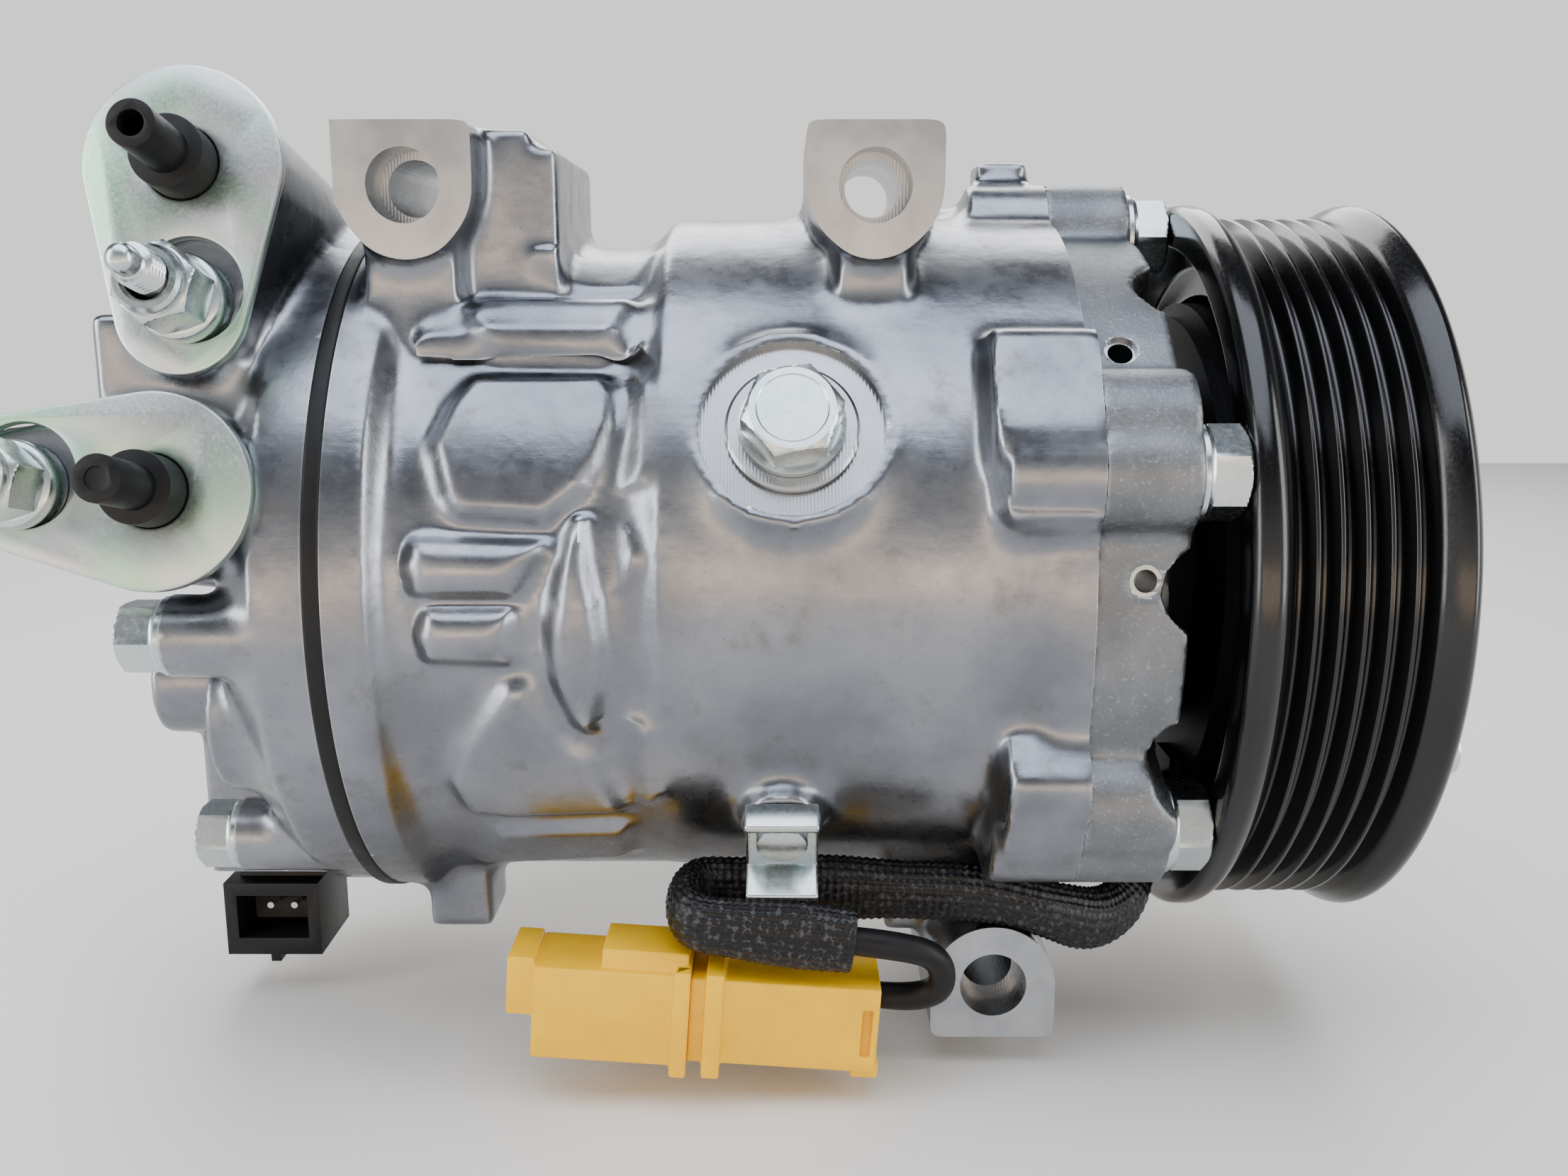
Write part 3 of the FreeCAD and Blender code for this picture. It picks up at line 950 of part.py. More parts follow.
for make in (cylinder_body, oil_plug, front_housing, bolts, rear_head, valve_stack, ports, control_valve,
             drive_shaft, bearings, lug_plate, swash_plate, return_spring, pistons, pulley, pulley_bearing,
             field_coil, clutch_hub, armature, harness, bracket, plug):
    make()
doc.recompute()

for item in doc.Objects:
    if "Invalid" in item.State or "Error" in item.State:
        raise RuntimeError(f"{item.Label}: {item.State}")
for item in NODES:
    if item.Shape.isNull() or not item.Shape.isValid() or not item.Shape.Solids:
        raise RuntimeError(f"{item.Label} has no valid solid")

os.makedirs("parts", exist_ok=True)
for item in NODES:
    item.Shape.exportStep(f"parts/{item.Label}.step")
print(len(NODES), "nodes")
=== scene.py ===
import json
import math

import bmesh
import bpy
import numpy as np
from mathutils import Matrix, Vector


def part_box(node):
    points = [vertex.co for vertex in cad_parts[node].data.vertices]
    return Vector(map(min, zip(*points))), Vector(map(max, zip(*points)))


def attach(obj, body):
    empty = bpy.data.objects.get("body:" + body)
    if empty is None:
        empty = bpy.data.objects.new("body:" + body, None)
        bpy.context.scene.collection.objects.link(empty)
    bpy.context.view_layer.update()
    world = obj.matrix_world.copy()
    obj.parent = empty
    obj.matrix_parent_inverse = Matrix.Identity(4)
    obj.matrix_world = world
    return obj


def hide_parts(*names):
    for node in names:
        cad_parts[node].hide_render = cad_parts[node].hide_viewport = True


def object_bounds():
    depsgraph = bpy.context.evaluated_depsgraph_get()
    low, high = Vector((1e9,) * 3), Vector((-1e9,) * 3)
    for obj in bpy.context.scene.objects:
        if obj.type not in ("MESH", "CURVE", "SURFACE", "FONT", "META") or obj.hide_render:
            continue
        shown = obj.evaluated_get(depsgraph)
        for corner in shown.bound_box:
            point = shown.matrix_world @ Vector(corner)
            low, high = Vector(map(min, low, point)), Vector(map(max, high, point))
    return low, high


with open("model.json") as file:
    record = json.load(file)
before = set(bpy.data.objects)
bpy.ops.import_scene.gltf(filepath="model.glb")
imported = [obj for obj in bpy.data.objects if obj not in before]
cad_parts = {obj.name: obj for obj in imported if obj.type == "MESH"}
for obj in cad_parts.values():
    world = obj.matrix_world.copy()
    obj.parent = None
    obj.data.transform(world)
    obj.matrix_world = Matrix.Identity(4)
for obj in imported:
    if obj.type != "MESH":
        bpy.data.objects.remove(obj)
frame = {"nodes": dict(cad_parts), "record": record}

# Belt-driven air-conditioning compressor. Shapes are worked out in millimetres on the shaft axis, and
# meshOf turns them into metres. Angles count up from the side that faces the mounting bolts (-Y).
mm = 0.001
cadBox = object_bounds()
boltSide = Vector((0, -1, 0))
shaftWay = Vector((1, 0, 0))
portTilt = math.radians(13.5)
portWay = Vector((0, -math.cos(portTilt), math.sin(portTilt)))   # the line ports look this way


# Camera

view = {"place": (-0.0827, -0.2579, 0.0464), "lookDown": 11.47, "lens": 32.875}

camera = bpy.data.objects.new("camera", bpy.data.cameras.new("camera"))
camera.data.lens = view["lens"]
camera.data.sensor_width = 36
camera.data.clip_start = 0.01
camera.location = view["place"]
camera.rotation_euler = (math.radians(90 - view["lookDown"]), 0, 0)
bpy.context.collection.objects.link(camera)
bpy.context.scene.camera = camera


# Material tools

def hexToLinear(code):
    parts = [int(code[i:i + 2], 16) / 255 for i in (1, 3, 5)]
    return tuple(p / 12.92 if p <= 0.04045 else ((p + 0.055) / 1.055) ** 2.4 for p in parts) + (1,)


def addNode(tree, kind, settings=None, links=None):
    node = tree.nodes.new(kind)
    for key, value in (settings or {}).items():
        setattr(node, key, value)
    for key, value in (links or {}).items():
        if isinstance(value, bpy.types.NodeSocket):
            tree.links.new(value, node.inputs[key])
        else:
            node.inputs[key].default_value = value
    return node


def startFinish(name, metallic, roughness, ior=None):
    material = bpy.data.materials.new(name)
    material.use_nodes = True
    tree = material.node_tree
    shader = tree.nodes["Principled BSDF"]
    shader.inputs["Metallic"].default_value = metallic
    shader.inputs["Roughness"].default_value = roughness
    if ior:
        shader.inputs["IOR"].default_value = ior
    place = addNode(tree, "ShaderNodeTexCoord").outputs["Object"]
    return material, tree, shader, place


def noise(tree, place, size, detail=3, rough=0.5, squeeze=None):
    # size is the width of one blotch in millimetres
    if squeeze:
        place = addNode(tree, "ShaderNodeMapping", None, {"Vector": place, "Scale": squeeze}).outputs[0]
    return addNode(tree, "ShaderNodeTexNoise", None, {
        "Vector": place, "Scale": 1 / (size * mm), "Detail": detail, "Roughness": rough}).outputs["Fac"]


def spread(tree, value, low, high, outLow=0.0, outHigh=1.0):
    return addNode(tree, "ShaderNodeMapRange", {"clamp": True}, {
        "Value": value, "From Min": low, "From Max": high, "To Min": outLow, "To Max": outHigh}).outputs[0]


def tint(tree, amount, first, second):
    # a socket or a hex code may stand on either side
    sides = [hexToLinear(c) if isinstance(c, str) else c for c in (first, second)]
    return addNode(tree, "ShaderNodeMix", {"data_type": "RGBA"},
                   {0: amount, 6: sides[0], 7: sides[1]}).outputs[2]


def bump(tree, height, depth, before=None):
    # depth is the real height of the pattern in millimetres
    links = {"Height": height, "Distance": depth * mm, "Strength": 1.0}
    if before:
        links["Normal"] = before
    return addNode(tree, "ShaderNodeBump", None, links).outputs[0]


def wire(tree, shader, colour=None, roughness=None, normal=None):
    for key, socket in (("Base Color", colour), ("Roughness", roughness), ("Normal", normal)):
        if socket is not None:
            tree.links.new(socket, shader.inputs[key])


# Finishes

def dieCastAluminium():
    # pressure die cast and tumbled: silvery skin with soft cloudy stains, edges rubbed bright
    material, tree, shader, place = startFinish("die-cast aluminium, tumbled", 1.0, 0.3)
    cloud = noise(tree, place, 22, 4, 0.6)
    stain = noise(tree, place, 7, 6, 0.68)
    speck = noise(tree, place, 0.9, 3, 0.6)
    drawn = noise(tree, place, 1.1, 3, 0.6, (0.12, 1, 1))
    colour = tint(tree, spread(tree, cloud, 0.35, 0.65), "#74777D", "#8D8F94")
    colour = tint(tree, spread(tree, stain, 0.56, 0.7, 0.0, 0.5), colour, "#66635E")
    colour = tint(tree, spread(tree, speck, 0.66, 0.74, 0.0, 0.45), colour, "#5E5C5A")
    wear = addNode(tree, "ShaderNodeNewGeometry").outputs["Pointiness"]
    colour = tint(tree, spread(tree, wear, 0.52, 0.6, 0.0, 0.75), colour, "#DADCDD")
    rough = spread(tree, stain, 0.35, 0.7, 0.23, 0.37)
    skin = bump(tree, cloud, 0.25)
    skin = bump(tree, drawn, 0.012, skin)
    skin = bump(tree, speck, 0.02, skin)
    wire(tree, shader, colour, rough, skin)
    return material


def sandCastAluminium():
    # gravity cast: the mould's grain stays as fine sparkling pits
    material, tree, shader, place = startFinish("sand-cast aluminium", 1.0, 0.42)
    grain = noise(tree, place, 0.7, 4, 0.7)
    cloud = noise(tree, place, 12, 4, 0.6)
    colour = tint(tree, spread(tree, cloud, 0.35, 0.65), "#6A6D70", "#7D8083")
    colour = tint(tree, spread(tree, grain, 0.56, 0.68, 0.0, 0.3), colour, "#C4C6C8")
    wear = addNode(tree, "ShaderNodeNewGeometry").outputs["Pointiness"]
    colour = tint(tree, spread(tree, wear, 0.53, 0.62, 0.0, 0.6), colour, "#D5D7D8")
    wire(tree, shader, colour, spread(tree, grain, 0.3, 0.7, 0.34, 0.56), bump(tree, grain, 0.09))
    return material


def machinedAluminium():
    # fly-cut faces: bright, with fine parallel cutter lines half a millimetre apart
    material, tree, shader, place = startFinish("machined aluminium", 1.0, 0.26)
    lines = addNode(tree, "ShaderNodeTexWave", {"bands_direction": "X", "wave_profile": "SIN"}, {
        "Vector": place, "Scale": 2 * math.pi / 20 / (0.5 * mm), "Distortion": 1.2, "Detail": 2.0,
        "Detail Scale": 0.02}).outputs["Fac"]
    cloud = noise(tree, place, 9, 3, 0.5)
    colour = tint(tree, spread(tree, cloud, 0.35, 0.65), "#96989B", "#ADAFB1")
    wire(tree, shader, colour, spread(tree, cloud, 0.3, 0.7, 0.22, 0.34), bump(tree, lines, 0.012))
    return material


def platedSteel(name, base, second, rough, grain):
    # electroplated zinc: soft silver with a faint passivation tint that drifts over the part
    material, tree, shader, place = startFinish(name, 1.0, rough)
    drift = noise(tree, place, 5, 3, 0.55)
    fine = noise(tree, place, grain, 4, 0.6)
    colour = tint(tree, spread(tree, drift, 0.35, 0.65), base, second)
    colour = tint(tree, spread(tree, fine, 0.6, 0.75, 0.0, 0.2), colour, "#9EA19F")
    gloss = spread(tree, fine, 0.3, 0.7, rough - 0.03, rough + 0.06)
    wire(tree, shader, colour, gloss, bump(tree, fine, 0.001))
    return material


def portPlateZinc():
    # barrel-plated zinc with a clear chromate: pale silver that turns green and pink in large patches
    material, tree, shader, place = startFinish("chromated zinc sheet", 1.0, 0.36)
    green = noise(tree, place, 16, 2, 0.5)
    pink = noise(tree, place, 11, 2, 0.5)
    sparkle = noise(tree, place, 0.45, 4, 0.7)
    colour = tint(tree, spread(tree, green, 0.42, 0.6), "#C3CAC8", "#A9CDB4")
    colour = tint(tree, spread(tree, pink, 0.52, 0.66, 0.0, 0.6), colour, "#C9C3C8")
    colour = tint(tree, spread(tree, sparkle, 0.6, 0.72, 0.0, 0.5), colour, "#EEF0EE")
    wire(tree, shader, colour, spread(tree, sparkle, 0.3, 0.7, 0.3, 0.44), bump(tree, sparkle, 0.014))
    return material


def plainSteel(name, first, second, rough, size):
    # turned or ground steel: even grey with faint streaks round the axis
    material, tree, shader, place = startFinish(name, 1.0, rough)
    streak = noise(tree, place, size, 4, 0.6, (1, 0.2, 0.2))
    colour = tint(tree, spread(tree, streak, 0.35, 0.65), first, second)
    gloss = spread(tree, streak, 0.3, 0.7, rough - 0.05, rough + 0.08)
    wire(tree, shader, colour, gloss, bump(tree, streak, 0.01))
    return material


def blackEnamel():
    # electro-dipped gloss black: deep and wet looking, a little orange peel, dust in the sheen
    material, tree, shader, place = startFinish("black electro-dip enamel", 0.0, 0.16, 1.5)
    peel = noise(tree, place, 1.6, 2, 0.4)
    dust = noise(tree, place, 0.5, 5, 0.7)
    colour = tint(tree, spread(tree, dust, 0.62, 0.74, 0.0, 0.35), "#070708", "#1B1B1D")
    wire(tree, shader, colour, spread(tree, dust, 0.35, 0.7, 0.12, 0.26), bump(tree, peel, 0.008))
    return material


def mouldedRubber():
    # carbon-black rubber: nearly black, dull, with a dry bloom on high spots
    material, tree, shader, place = startFinish("moulded black rubber", 0.0, 0.5, 1.52)
    shader.inputs["Specular IOR Level"].default_value = 0.25
    bloom = noise(tree, place, 4, 5, 0.65)
    fine = noise(tree, place, 0.35, 3, 0.6)
    colour = tint(tree, spread(tree, bloom, 0.5, 0.72, 0.0, 0.7), "#0A0A0B", "#161618")
    wire(tree, shader, colour, spread(tree, bloom, 0.3, 0.7, 0.38, 0.56), bump(tree, fine, 0.015))
    return material


def blackNylon():
    # glass-filled nylon: black and semi-matt with a slight pebble
    material, tree, shader, place = startFinish("moulded black nylon", 0.0, 0.42, 1.53)
    shader.inputs["Specular IOR Level"].default_value = 0.25
    pebble = noise(tree, place, 0.6, 3, 0.55)
    colour = tint(tree, spread(tree, pebble, 0.4, 0.7), "#0B0B0C", "#161617")
    wire(tree, shader, colour, spread(tree, pebble, 0.3, 0.7, 0.36, 0.5), bump(tree, pebble, 0.02))
    return material


def amberPolyester():
    # injection-moulded PBT: strong amber yellow with handling smudges and a satin skin
    material, tree, shader, place = startFinish("moulded amber PBT", 0.0, 0.34, 1.55)
    shader.inputs["Specular IOR Level"].default_value = 0.3
    smudge = noise(tree, place, 9, 5, 0.7)
    fine = noise(tree, place, 0.5, 3, 0.6)
    mark = noise(tree, place, 3, 6, 0.75, (0.4, 1, 1))
    colour = tint(tree, spread(tree, smudge, 0.35, 0.7), "#F2BC00", "#E6AE00")
    colour = tint(tree, spread(tree, mark, 0.66, 0.76, 0.0, 0.35), colour, "#9A6A10")
    wire(tree, shader, colour, spread(tree, smudge, 0.3, 0.7, 0.28, 0.42), bump(tree, fine, 0.01))
    return material


def braidedSleeve():
    # braided polyester yarn: black strands, with a painted highlight of small lighter glints mixed into the
    # colour
    material, tree, shader, place = startFinish("braided black polyester", 0.0, 0.4, 1.57)
    shader.inputs["Specular IOR Level"].default_value = 0.25
    cover = addNode(tree, "ShaderNodeUVMap", {"uv_map": "weave"}).outputs[0]
    turned = addNode(tree, "ShaderNodeMapping", None, {"Vector": cover, "Rotation": (0, 0, math.radians(45))})
    checker = addNode(tree, "ShaderNodeTexChecker", None, {"Vector": turned.outputs[0], "Scale": 1.14})
    strand = noise(tree, place, 0.35, 4, 0.7)
    # painted highlight: lighter specks in #3A3A3E on alternate weave squares stand in for glints of light on
    # the strands
    paintedGlint = spread(tree, noise(tree, place, 1.0, 2, 0.5), 0.5, 0.62)
    both = addNode(tree, "ShaderNodeMath", {"operation": "MULTIPLY"}, {0: paintedGlint, 1: checker.outputs["Fac"]})
    colour = tint(tree, both.outputs[0], "#060607", "#3A3A3E")
    wire(tree, shader, colour, spread(tree, strand, 0.3, 0.7, 0.26, 0.5), bump(tree, strand, 0.03))
    return material


finishes = {
    "dieCast": dieCastAluminium(),
    "sandCast": sandCastAluminium(),
    "machined": machinedAluminium(),
    "zinc": platedSteel("bright zinc plate", "#C5CAC9", "#B9C4C6", 0.24, 0.8),
    "portPlate": portPlateZinc(),
    "machinedSteel": plainSteel("turned steel", "#8D8C8B", "#A3A2A0", 0.3, 1.2),
    "bearingSteel": plainSteel("ground bearing steel", "#A9A9AB", "#BDBDBF", 0.14, 1.5),
    "armatureSteel": plainSteel("phosphated steel", "#5C5B5A", "#737170", 0.42, 1.5),
    "springSteel": plainSteel("blued spring steel", "#595C63", "#6E7178", 0.3, 1.4),
    "brass": plainSteel("turned brass", "#B08D4C", "#C2A05C", 0.28, 1.2),
    "tinned": plainSteel("tinned copper", "#C4C0B8", "#D2CEC6", 0.25, 1.0),
    "enamel": blackEnamel(),
    "rubber": mouldedRubber(),
    "nylon": blackNylon(),
    "amber": amberPolyester(),
    "braid": braidedSleeve(),
}
slotFinish = {
    "die_cast_aluminium": "dieCast", "sand_cast_aluminium": "sandCast", "zinc_plated_steel": "zinc",
    "port_plate_steel": "portPlate", "machined_steel": "machinedSteel", "bearing_steel": "bearingSteel",
    "pulley_black": "enamel", "armature_steel": "armatureSteel", "spring_steel": "springSteel",
    "black_rubber": "rubber", "coil_resin": "nylon", "valve_brass": "brass", "connector_black": "nylon",
    "contact_metal": "tinned", "plug_amber": "amber", "woven_sleeve": "braid", "lead_black": "rubber",
}
nodeSlot = {part["node"]: part["material_slot"] for part in frame["record"]["subparts"]}
nodeBody = {node: body for body, nodes in frame["record"]["behaviour"]["bodies"].items() for node in nodes}
for nodeName, nodeObject in frame["nodes"].items():
    nodeObject.data.materials.clear()
    nodeObject.data.materials.append(finishes[slotFinish[nodeSlot[nodeName]]])
print("finishes made")


# Mesh tools

def lathe(rings, steps, loop=False):
    # rings are (height, radius) round +Z; either may be a number or one value per step
    turn = np.arange(steps) * 2 * math.pi / steps
    points, faces, rows = [], [], []
    for height, radius in rings:
        radius = np.broadcast_to(radius, steps)
        height = np.broadcast_to(height, steps)
        if radius.max() < 1e-6:
            rows.append([len(points)] * steps)
            points.append((0, 0, height[0]))
            continue
        rows.append(list(range(len(points), len(points) + steps)))
        points += np.c_[radius * np.cos(turn), radius * np.sin(turn), height].tolist()
    pairs = list(zip(rows, rows[1:])) + ([(rows[-1], rows[0])] if loop else [])
    for low, high in pairs:
        for i in range(steps):
            j = (i + 1) % steps
            face = list(dict.fromkeys((low[i], low[j], high[j], high[i])))
            if len(face) > 2:
                faces.append(face)
    return np.array(points), faces


def stand(shape, origin, way, spin=0.0):
    points, faces = shape
    turn = Vector(way).to_track_quat("Z", "Y").to_matrix() @ Matrix.Rotation(spin, 3, "Z")
    return points @ np.array(turn).T + np.array(origin), faces


def boxShape(low, high):
    x, y, z = zip(low, high)
    points = np.array([(x[i & 1], y[i >> 1 & 1], z[i >> 2 & 1]) for i in range(8)], float)
    return points, [(0, 2, 3, 1), (4, 5, 7, 6), (0, 1, 5, 4), (2, 6, 7, 3), (0, 4, 6, 2), (1, 3, 7, 5)]


def merge(shapes):
    points, faces, count = [], [], 0
    for some, more in shapes:
        points.append(some)
        faces += [[i + count for i in face] for face in more]
        count += len(some)
    return np.concatenate(points), faces


def meshOf(name, shape):
    points, faces = shape
    mesh = bpy.data.meshes.new(name)
    mesh.from_pydata((points * mm).tolist(), [], faces)
    tidyNormals(mesh)
    return mesh


def tidyNormals(mesh):
    grid = bmesh.new()
    grid.from_mesh(mesh)
    bmesh.ops.recalc_face_normals(grid, faces=grid.faces)
    grid.to_mesh(mesh)
    grid.free()


def cornersOf(mesh):
    flat = np.empty(len(mesh.vertices) * 3, np.float32)
    mesh.vertices.foreach_get("co", flat)
    return flat.reshape(-1, 3).astype(float) / mm


def moveCorners(mesh, points):
    mesh.vertices.foreach_set("co", (points * mm).astype(np.float32).ravel())
    mesh.update()


def makePiece(name, mesh, finish, nodes, sharp=32):
    # the piece stands for the CAD nodes named and rides on their body; it takes the finishes it is given
    for one in finish if isinstance(finish, (list, tuple)) else [finish]:
        mesh.materials.append(finishes[one])
    mesh.shade_smooth()
    mesh.set_sharp_from_angle(angle=math.radians(sharp))
    if len(mesh.materials) > 1:
        markCutEdges(mesh)
    piece = bpy.data.objects.new(name, mesh)
    bpy.context.collection.objects.link(piece)
    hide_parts(*nodes)
    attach(piece, nodeBody[nodes[0]])
    return piece


def markCutEdges(mesh):
    # a cutter leaves a crisp edge wherever machined metal meets the casting's skin
    grid = bmesh.new()
    grid.from_mesh(mesh)
    for edge in grid.edges:
        if len(edge.link_faces) == 2 and len({face.material_index for face in edge.link_faces}) == 2:
            edge.smooth = False
    grid.to_mesh(mesh)
    grid.free()


def weldedGrid(node):
    grid = bmesh.new()
    grid.from_mesh(frame["nodes"][node].data)
    bmesh.ops.remove_doubles(grid, verts=grid.verts, dist=0.002 * mm)
    return grid


def solidsOf(node):
    # the separate solids of a node, each as an array of points in millimetres
    grid = weldedGrid(node)
    grid.verts.ensure_lookup_table()
    seen, solids = set(), []
    for first in grid.verts:
        if first.index in seen:
            continue
        heap, island = [first], []
        seen.add(first.index)
        while heap:
            corner = heap.pop()
            island.append(corner.co[:])
            for edge in corner.link_edges:
                other = edge.other_vert(corner)
                if other.index not in seen:
                    seen.add(other.index)
                    heap.append(other)
        solids.append(np.array(island) / mm)
    grid.free()
    return solids


def axisOf(points, way):
    # where a turned solid's axis starts, and its length, along a direction
    way = np.array(way)
    middle = (points.min(0) + points.max(0)) / 2
    along = points @ way
    return middle + way * (along.min() - middle @ way), along.max() - along.min()


rounding = {"flatWithin": 0.6, "edgeOver": 30, "segments": 2}   # degrees, degrees, steps over the corner


def bevelledCopy(node, width):
    # the CAD solid again, with its corners rounded as the real piece's are
    grid = weldedGrid(node)
    flatWithin, edgeOver = math.radians(rounding["flatWithin"]), math.radians(rounding["edgeOver"])
    bmesh.ops.dissolve_limit(grid, angle_limit=flatWithin, verts=grid.verts, edges=grid.edges)
    edges = [e for e in grid.edges if len(e.link_faces) == 2 and e.calc_face_angle(0) > edgeOver]
    bmesh.ops.bevel(grid, geom=edges, offset=width * mm, segments=rounding["segments"], profile=0.5,
                    affect="EDGES", clamp_overlap=True)
    bmesh.ops.remove_doubles(grid, verts=grid.verts, dist=0.001 * mm)
    mesh = bpy.data.meshes.new(node)
    grid.to_mesh(mesh)
    grid.free()
    return makePiece(node + "_shape", mesh, slotFinish[nodeSlot[node]], [node])


# Castings: a closed shape is remeshed and softened like a casting's skin, then machined with true cutters

def remeshed(name, shapes, voxel):
    source = bpy.data.objects.new(name, meshOf(name, merge(shapes)))
    bpy.context.collection.objects.link(source)
    skin = source.modifiers.new("skin", "REMESH")
    skin.mode = "VOXEL"
    skin.voxel_size = voxel * mm
    mesh = bpy.data.meshes.new_from_object(source.evaluated_get(bpy.context.evaluated_depsgraph_get()))
    bpy.data.objects.remove(source)
    return mesh


def soften(mesh, roundPasses, filletPasses, where=None):
    # every corner is rounded a little, and inside corners are then filled up further
    points = cornersOf(mesh)
    count = len(points)
    ends = np.empty(len(mesh.edges) * 2, np.int32)
    mesh.edges.foreach_get("vertices", ends)
    ends = ends.reshape(-1, 2)
    degree = np.bincount(ends.ravel(), minlength=count)[:, None]
    amount = 0.5 if where is None else 0.5 * where[:, None]
    for step in range(roundPasses + filletPasses):
        total = np.zeros_like(points)
        for a, b in ((0, 1), (1, 0)):
            for k in range(3):
                total[:, k] += np.bincount(ends[:, a], points[ends[:, b], k], count)
        pull = total / degree - points
        if step >= roundPasses:
            if (step - roundPasses) % 6 == 0:
                moveCorners(mesh, points)
                normals = np.empty(count * 3, np.float32)
                mesh.vertex_normals.foreach_get("vector", normals)
                normals = normals.reshape(-1, 3)
            pull[(pull * normals).sum(1) < 0] = 0
        points += amount * pull
    moveCorners(mesh, points)


def outlineDepth(spots, outline):
    # how far inside an outline each spot lies, negative outside
    outline = np.array(outline, float)
    nearest = np.full(len(spots), 1e9)
    inside = np.zeros(len(spots), bool)
    for a, b in zip(outline, np.roll(outline, -1, 0)):
        run = b - a
        t = np.clip(((spots - a) @ run) / (run @ run), 0, 1)
        nearest = np.minimum(nearest, np.linalg.norm(spots - a - t[:, None] * run, axis=1))
        crosses = (a[1] > spots[:, 1]) != (b[1] > spots[:, 1])
        level = a[0] + (spots[:, 1] - a[1]) * run[0] / (run[1] if abs(run[1]) > 1e-9 else 1e-9)
        inside ^= crosses & (spots[:, 0] < level)
    return np.where(inside, nearest, -nearest)


def plainWaist(mesh, waist):
    # brings the skin between two stations and two angles back to the waist's own radius
    points = cornersOf(mesh)
    out = np.hypot(points[:, 1], points[:, 2])
    angle = np.degrees(np.arctan2(points[:, 2], -points[:, 1]))
    (xLow, xHigh), (angleLow, angleHigh) = waist["x"], waist["angle"]
    fade, turnFade = waist["fade"], waist["turnFade"]
    depth = np.minimum.reduce([(points[:, 0] - xLow) / fade, (xHigh - points[:, 0]) / fade,
                               (angle - angleLow) / turnFade, (angleHigh - angle) / turnFade])
    skin = (out > waist["radius"] - waist["under"]) * (out < waist["radius"] + waist["over"])
    amount = np.clip(depth, 0, 1) * skin
    scale = 1 + amount * (waist["radius"] / np.maximum(out, 1) - 1)
    points[:, 1] *= scale
    points[:, 2] *= scale
    moveCorners(mesh, points)


def raiseReliefs(mesh, reliefs, radius, reach):
    # each relief is an outline of (x, angle) pairs; it lifts the skin over a soft edge or in a round crown
    points = cornersOf(mesh)
    out = np.hypot(points[:, 1], points[:, 2])
    angle = np.arctan2(points[:, 2], -points[:, 1])
    spots = np.c_[points[:, 0], angle * radius]
    near = (out > reach[0]) & (out < reach[1])
    lift = np.zeros(len(points))
    for relief in reliefs:
        outline = [(x, math.radians(a) * radius) for x, a in relief["outline"]]
        depth = outlineDepth(spots[near], outline)
        if "crown" in relief:
            rise = np.clip(depth / relief["crown"], 0, 1)
            rise = np.sqrt(rise * (2 - rise)) * relief["height"]
        else:
            rise = np.clip((depth + relief["edge"]) / (2 * relief["edge"]), 0, 1)
            rise = rise * rise * (3 - 2 * rise) * relief["height"]
        lift[near] = np.where(np.abs(rise) > np.abs(lift[near]), rise, lift[near])
    points[:, 1] *= 1 + lift / np.maximum(out, 1)
    points[:, 2] *= 1 + lift / np.maximum(out, 1)
    moveCorners(mesh, points)


cutTrace = {"slack": 0.05, "slackPerRadius": 0.0006, "end": 0.03}   # how near a face lies to its cutter


def machine(mesh, cuts):
    # each cut is a cylinder: place, way, radius and length; its marks on the casting get the second finish
    work = bpy.data.objects.new("work", mesh)
    bpy.context.collection.objects.link(work)
    tools = [addCutter(work, plainRod(**cutter, steps=96)) for cutter in cuts]
    done = bpy.data.meshes.new_from_object(work.evaluated_get(bpy.context.evaluated_depsgraph_get()))
    done.materials.clear()
    for one in tools + [work]:
        bpy.data.objects.remove(one)
    centres = np.empty(len(done.polygons) * 3, np.float32)
    done.polygons.foreach_get("center", centres)
    centres = centres.reshape(-1, 3) / mm
    cutFaces = np.zeros(len(centres), bool)
    for cutter in cuts:
        way = np.array(cutter["way"], float)
        offset = centres - np.array(cutter["place"])
        along = offset @ way
        away = np.linalg.norm(offset - along[:, None] * way, axis=1)
        slack = cutTrace["slack"] + cutter["radius"] * cutTrace["slackPerRadius"]
        inSpan = (along > -slack) & (along < cutter["length"] + slack)
        wall = inSpan & (np.abs(away - cutter["radius"]) < slack)
        atEnd = (np.abs(along) < cutTrace["end"]) | (np.abs(along - cutter["length"]) < cutTrace["end"])
        cutFaces |= wall | (atEnd & (away < cutter["radius"] + slack))
    done.polygons.foreach_set("material_index", cutFaces.astype(np.int32))
    done.update()
    return done


def addCutter(work, shape):
    tool = bpy.data.objects.new("tool", meshOf("tool", shape))
    bpy.context.collection.objects.link(tool)
    step = work.modifiers.new("cut", "BOOLEAN")
    step.operation = "DIFFERENCE"
    step.object = tool
    step.solver = "MANIFOLD"
    return tool


def castCopy(node, fills, pushes, voxel):
    # the CAD solid with its hollows filled and its machined ends grown, ready to be cut back
    grid = weldedGrid(node)
    bmesh.ops.triangulate(grid, faces=grid.faces)
    points = np.array([v.co[:] for v in grid.verts]) / mm
    grid.verts.index_update()
    faces = [[v.index for v in f.verts] for f in grid.faces]
    grid.free()
    for axis, place, amount in pushes:
        points[np.abs(points[:, axis] - place) < 0.06, axis] += amount
    return remeshed(node, [(points, faces)] + fills, voxel)


def plainRod(place, way, radius, length, steps=64):
    return stand(lathe([(0, 0), (0, radius), (length, radius), (length, 0)], steps), place, way)


def cutFor(place, way, radius, length):
    return {"place": place, "way": way, "radius": radius, "length": length}


def around(radius, angle):
    return -radius * math.cos(math.radians(angle)), radius * math.sin(math.radians(angle))


def mountPlace(name):
    found = [m for m in frame["record"]["mounts"] if m["name"] == name][0]
    return np.array(found["pos_m"]) / mm, found["dims"]


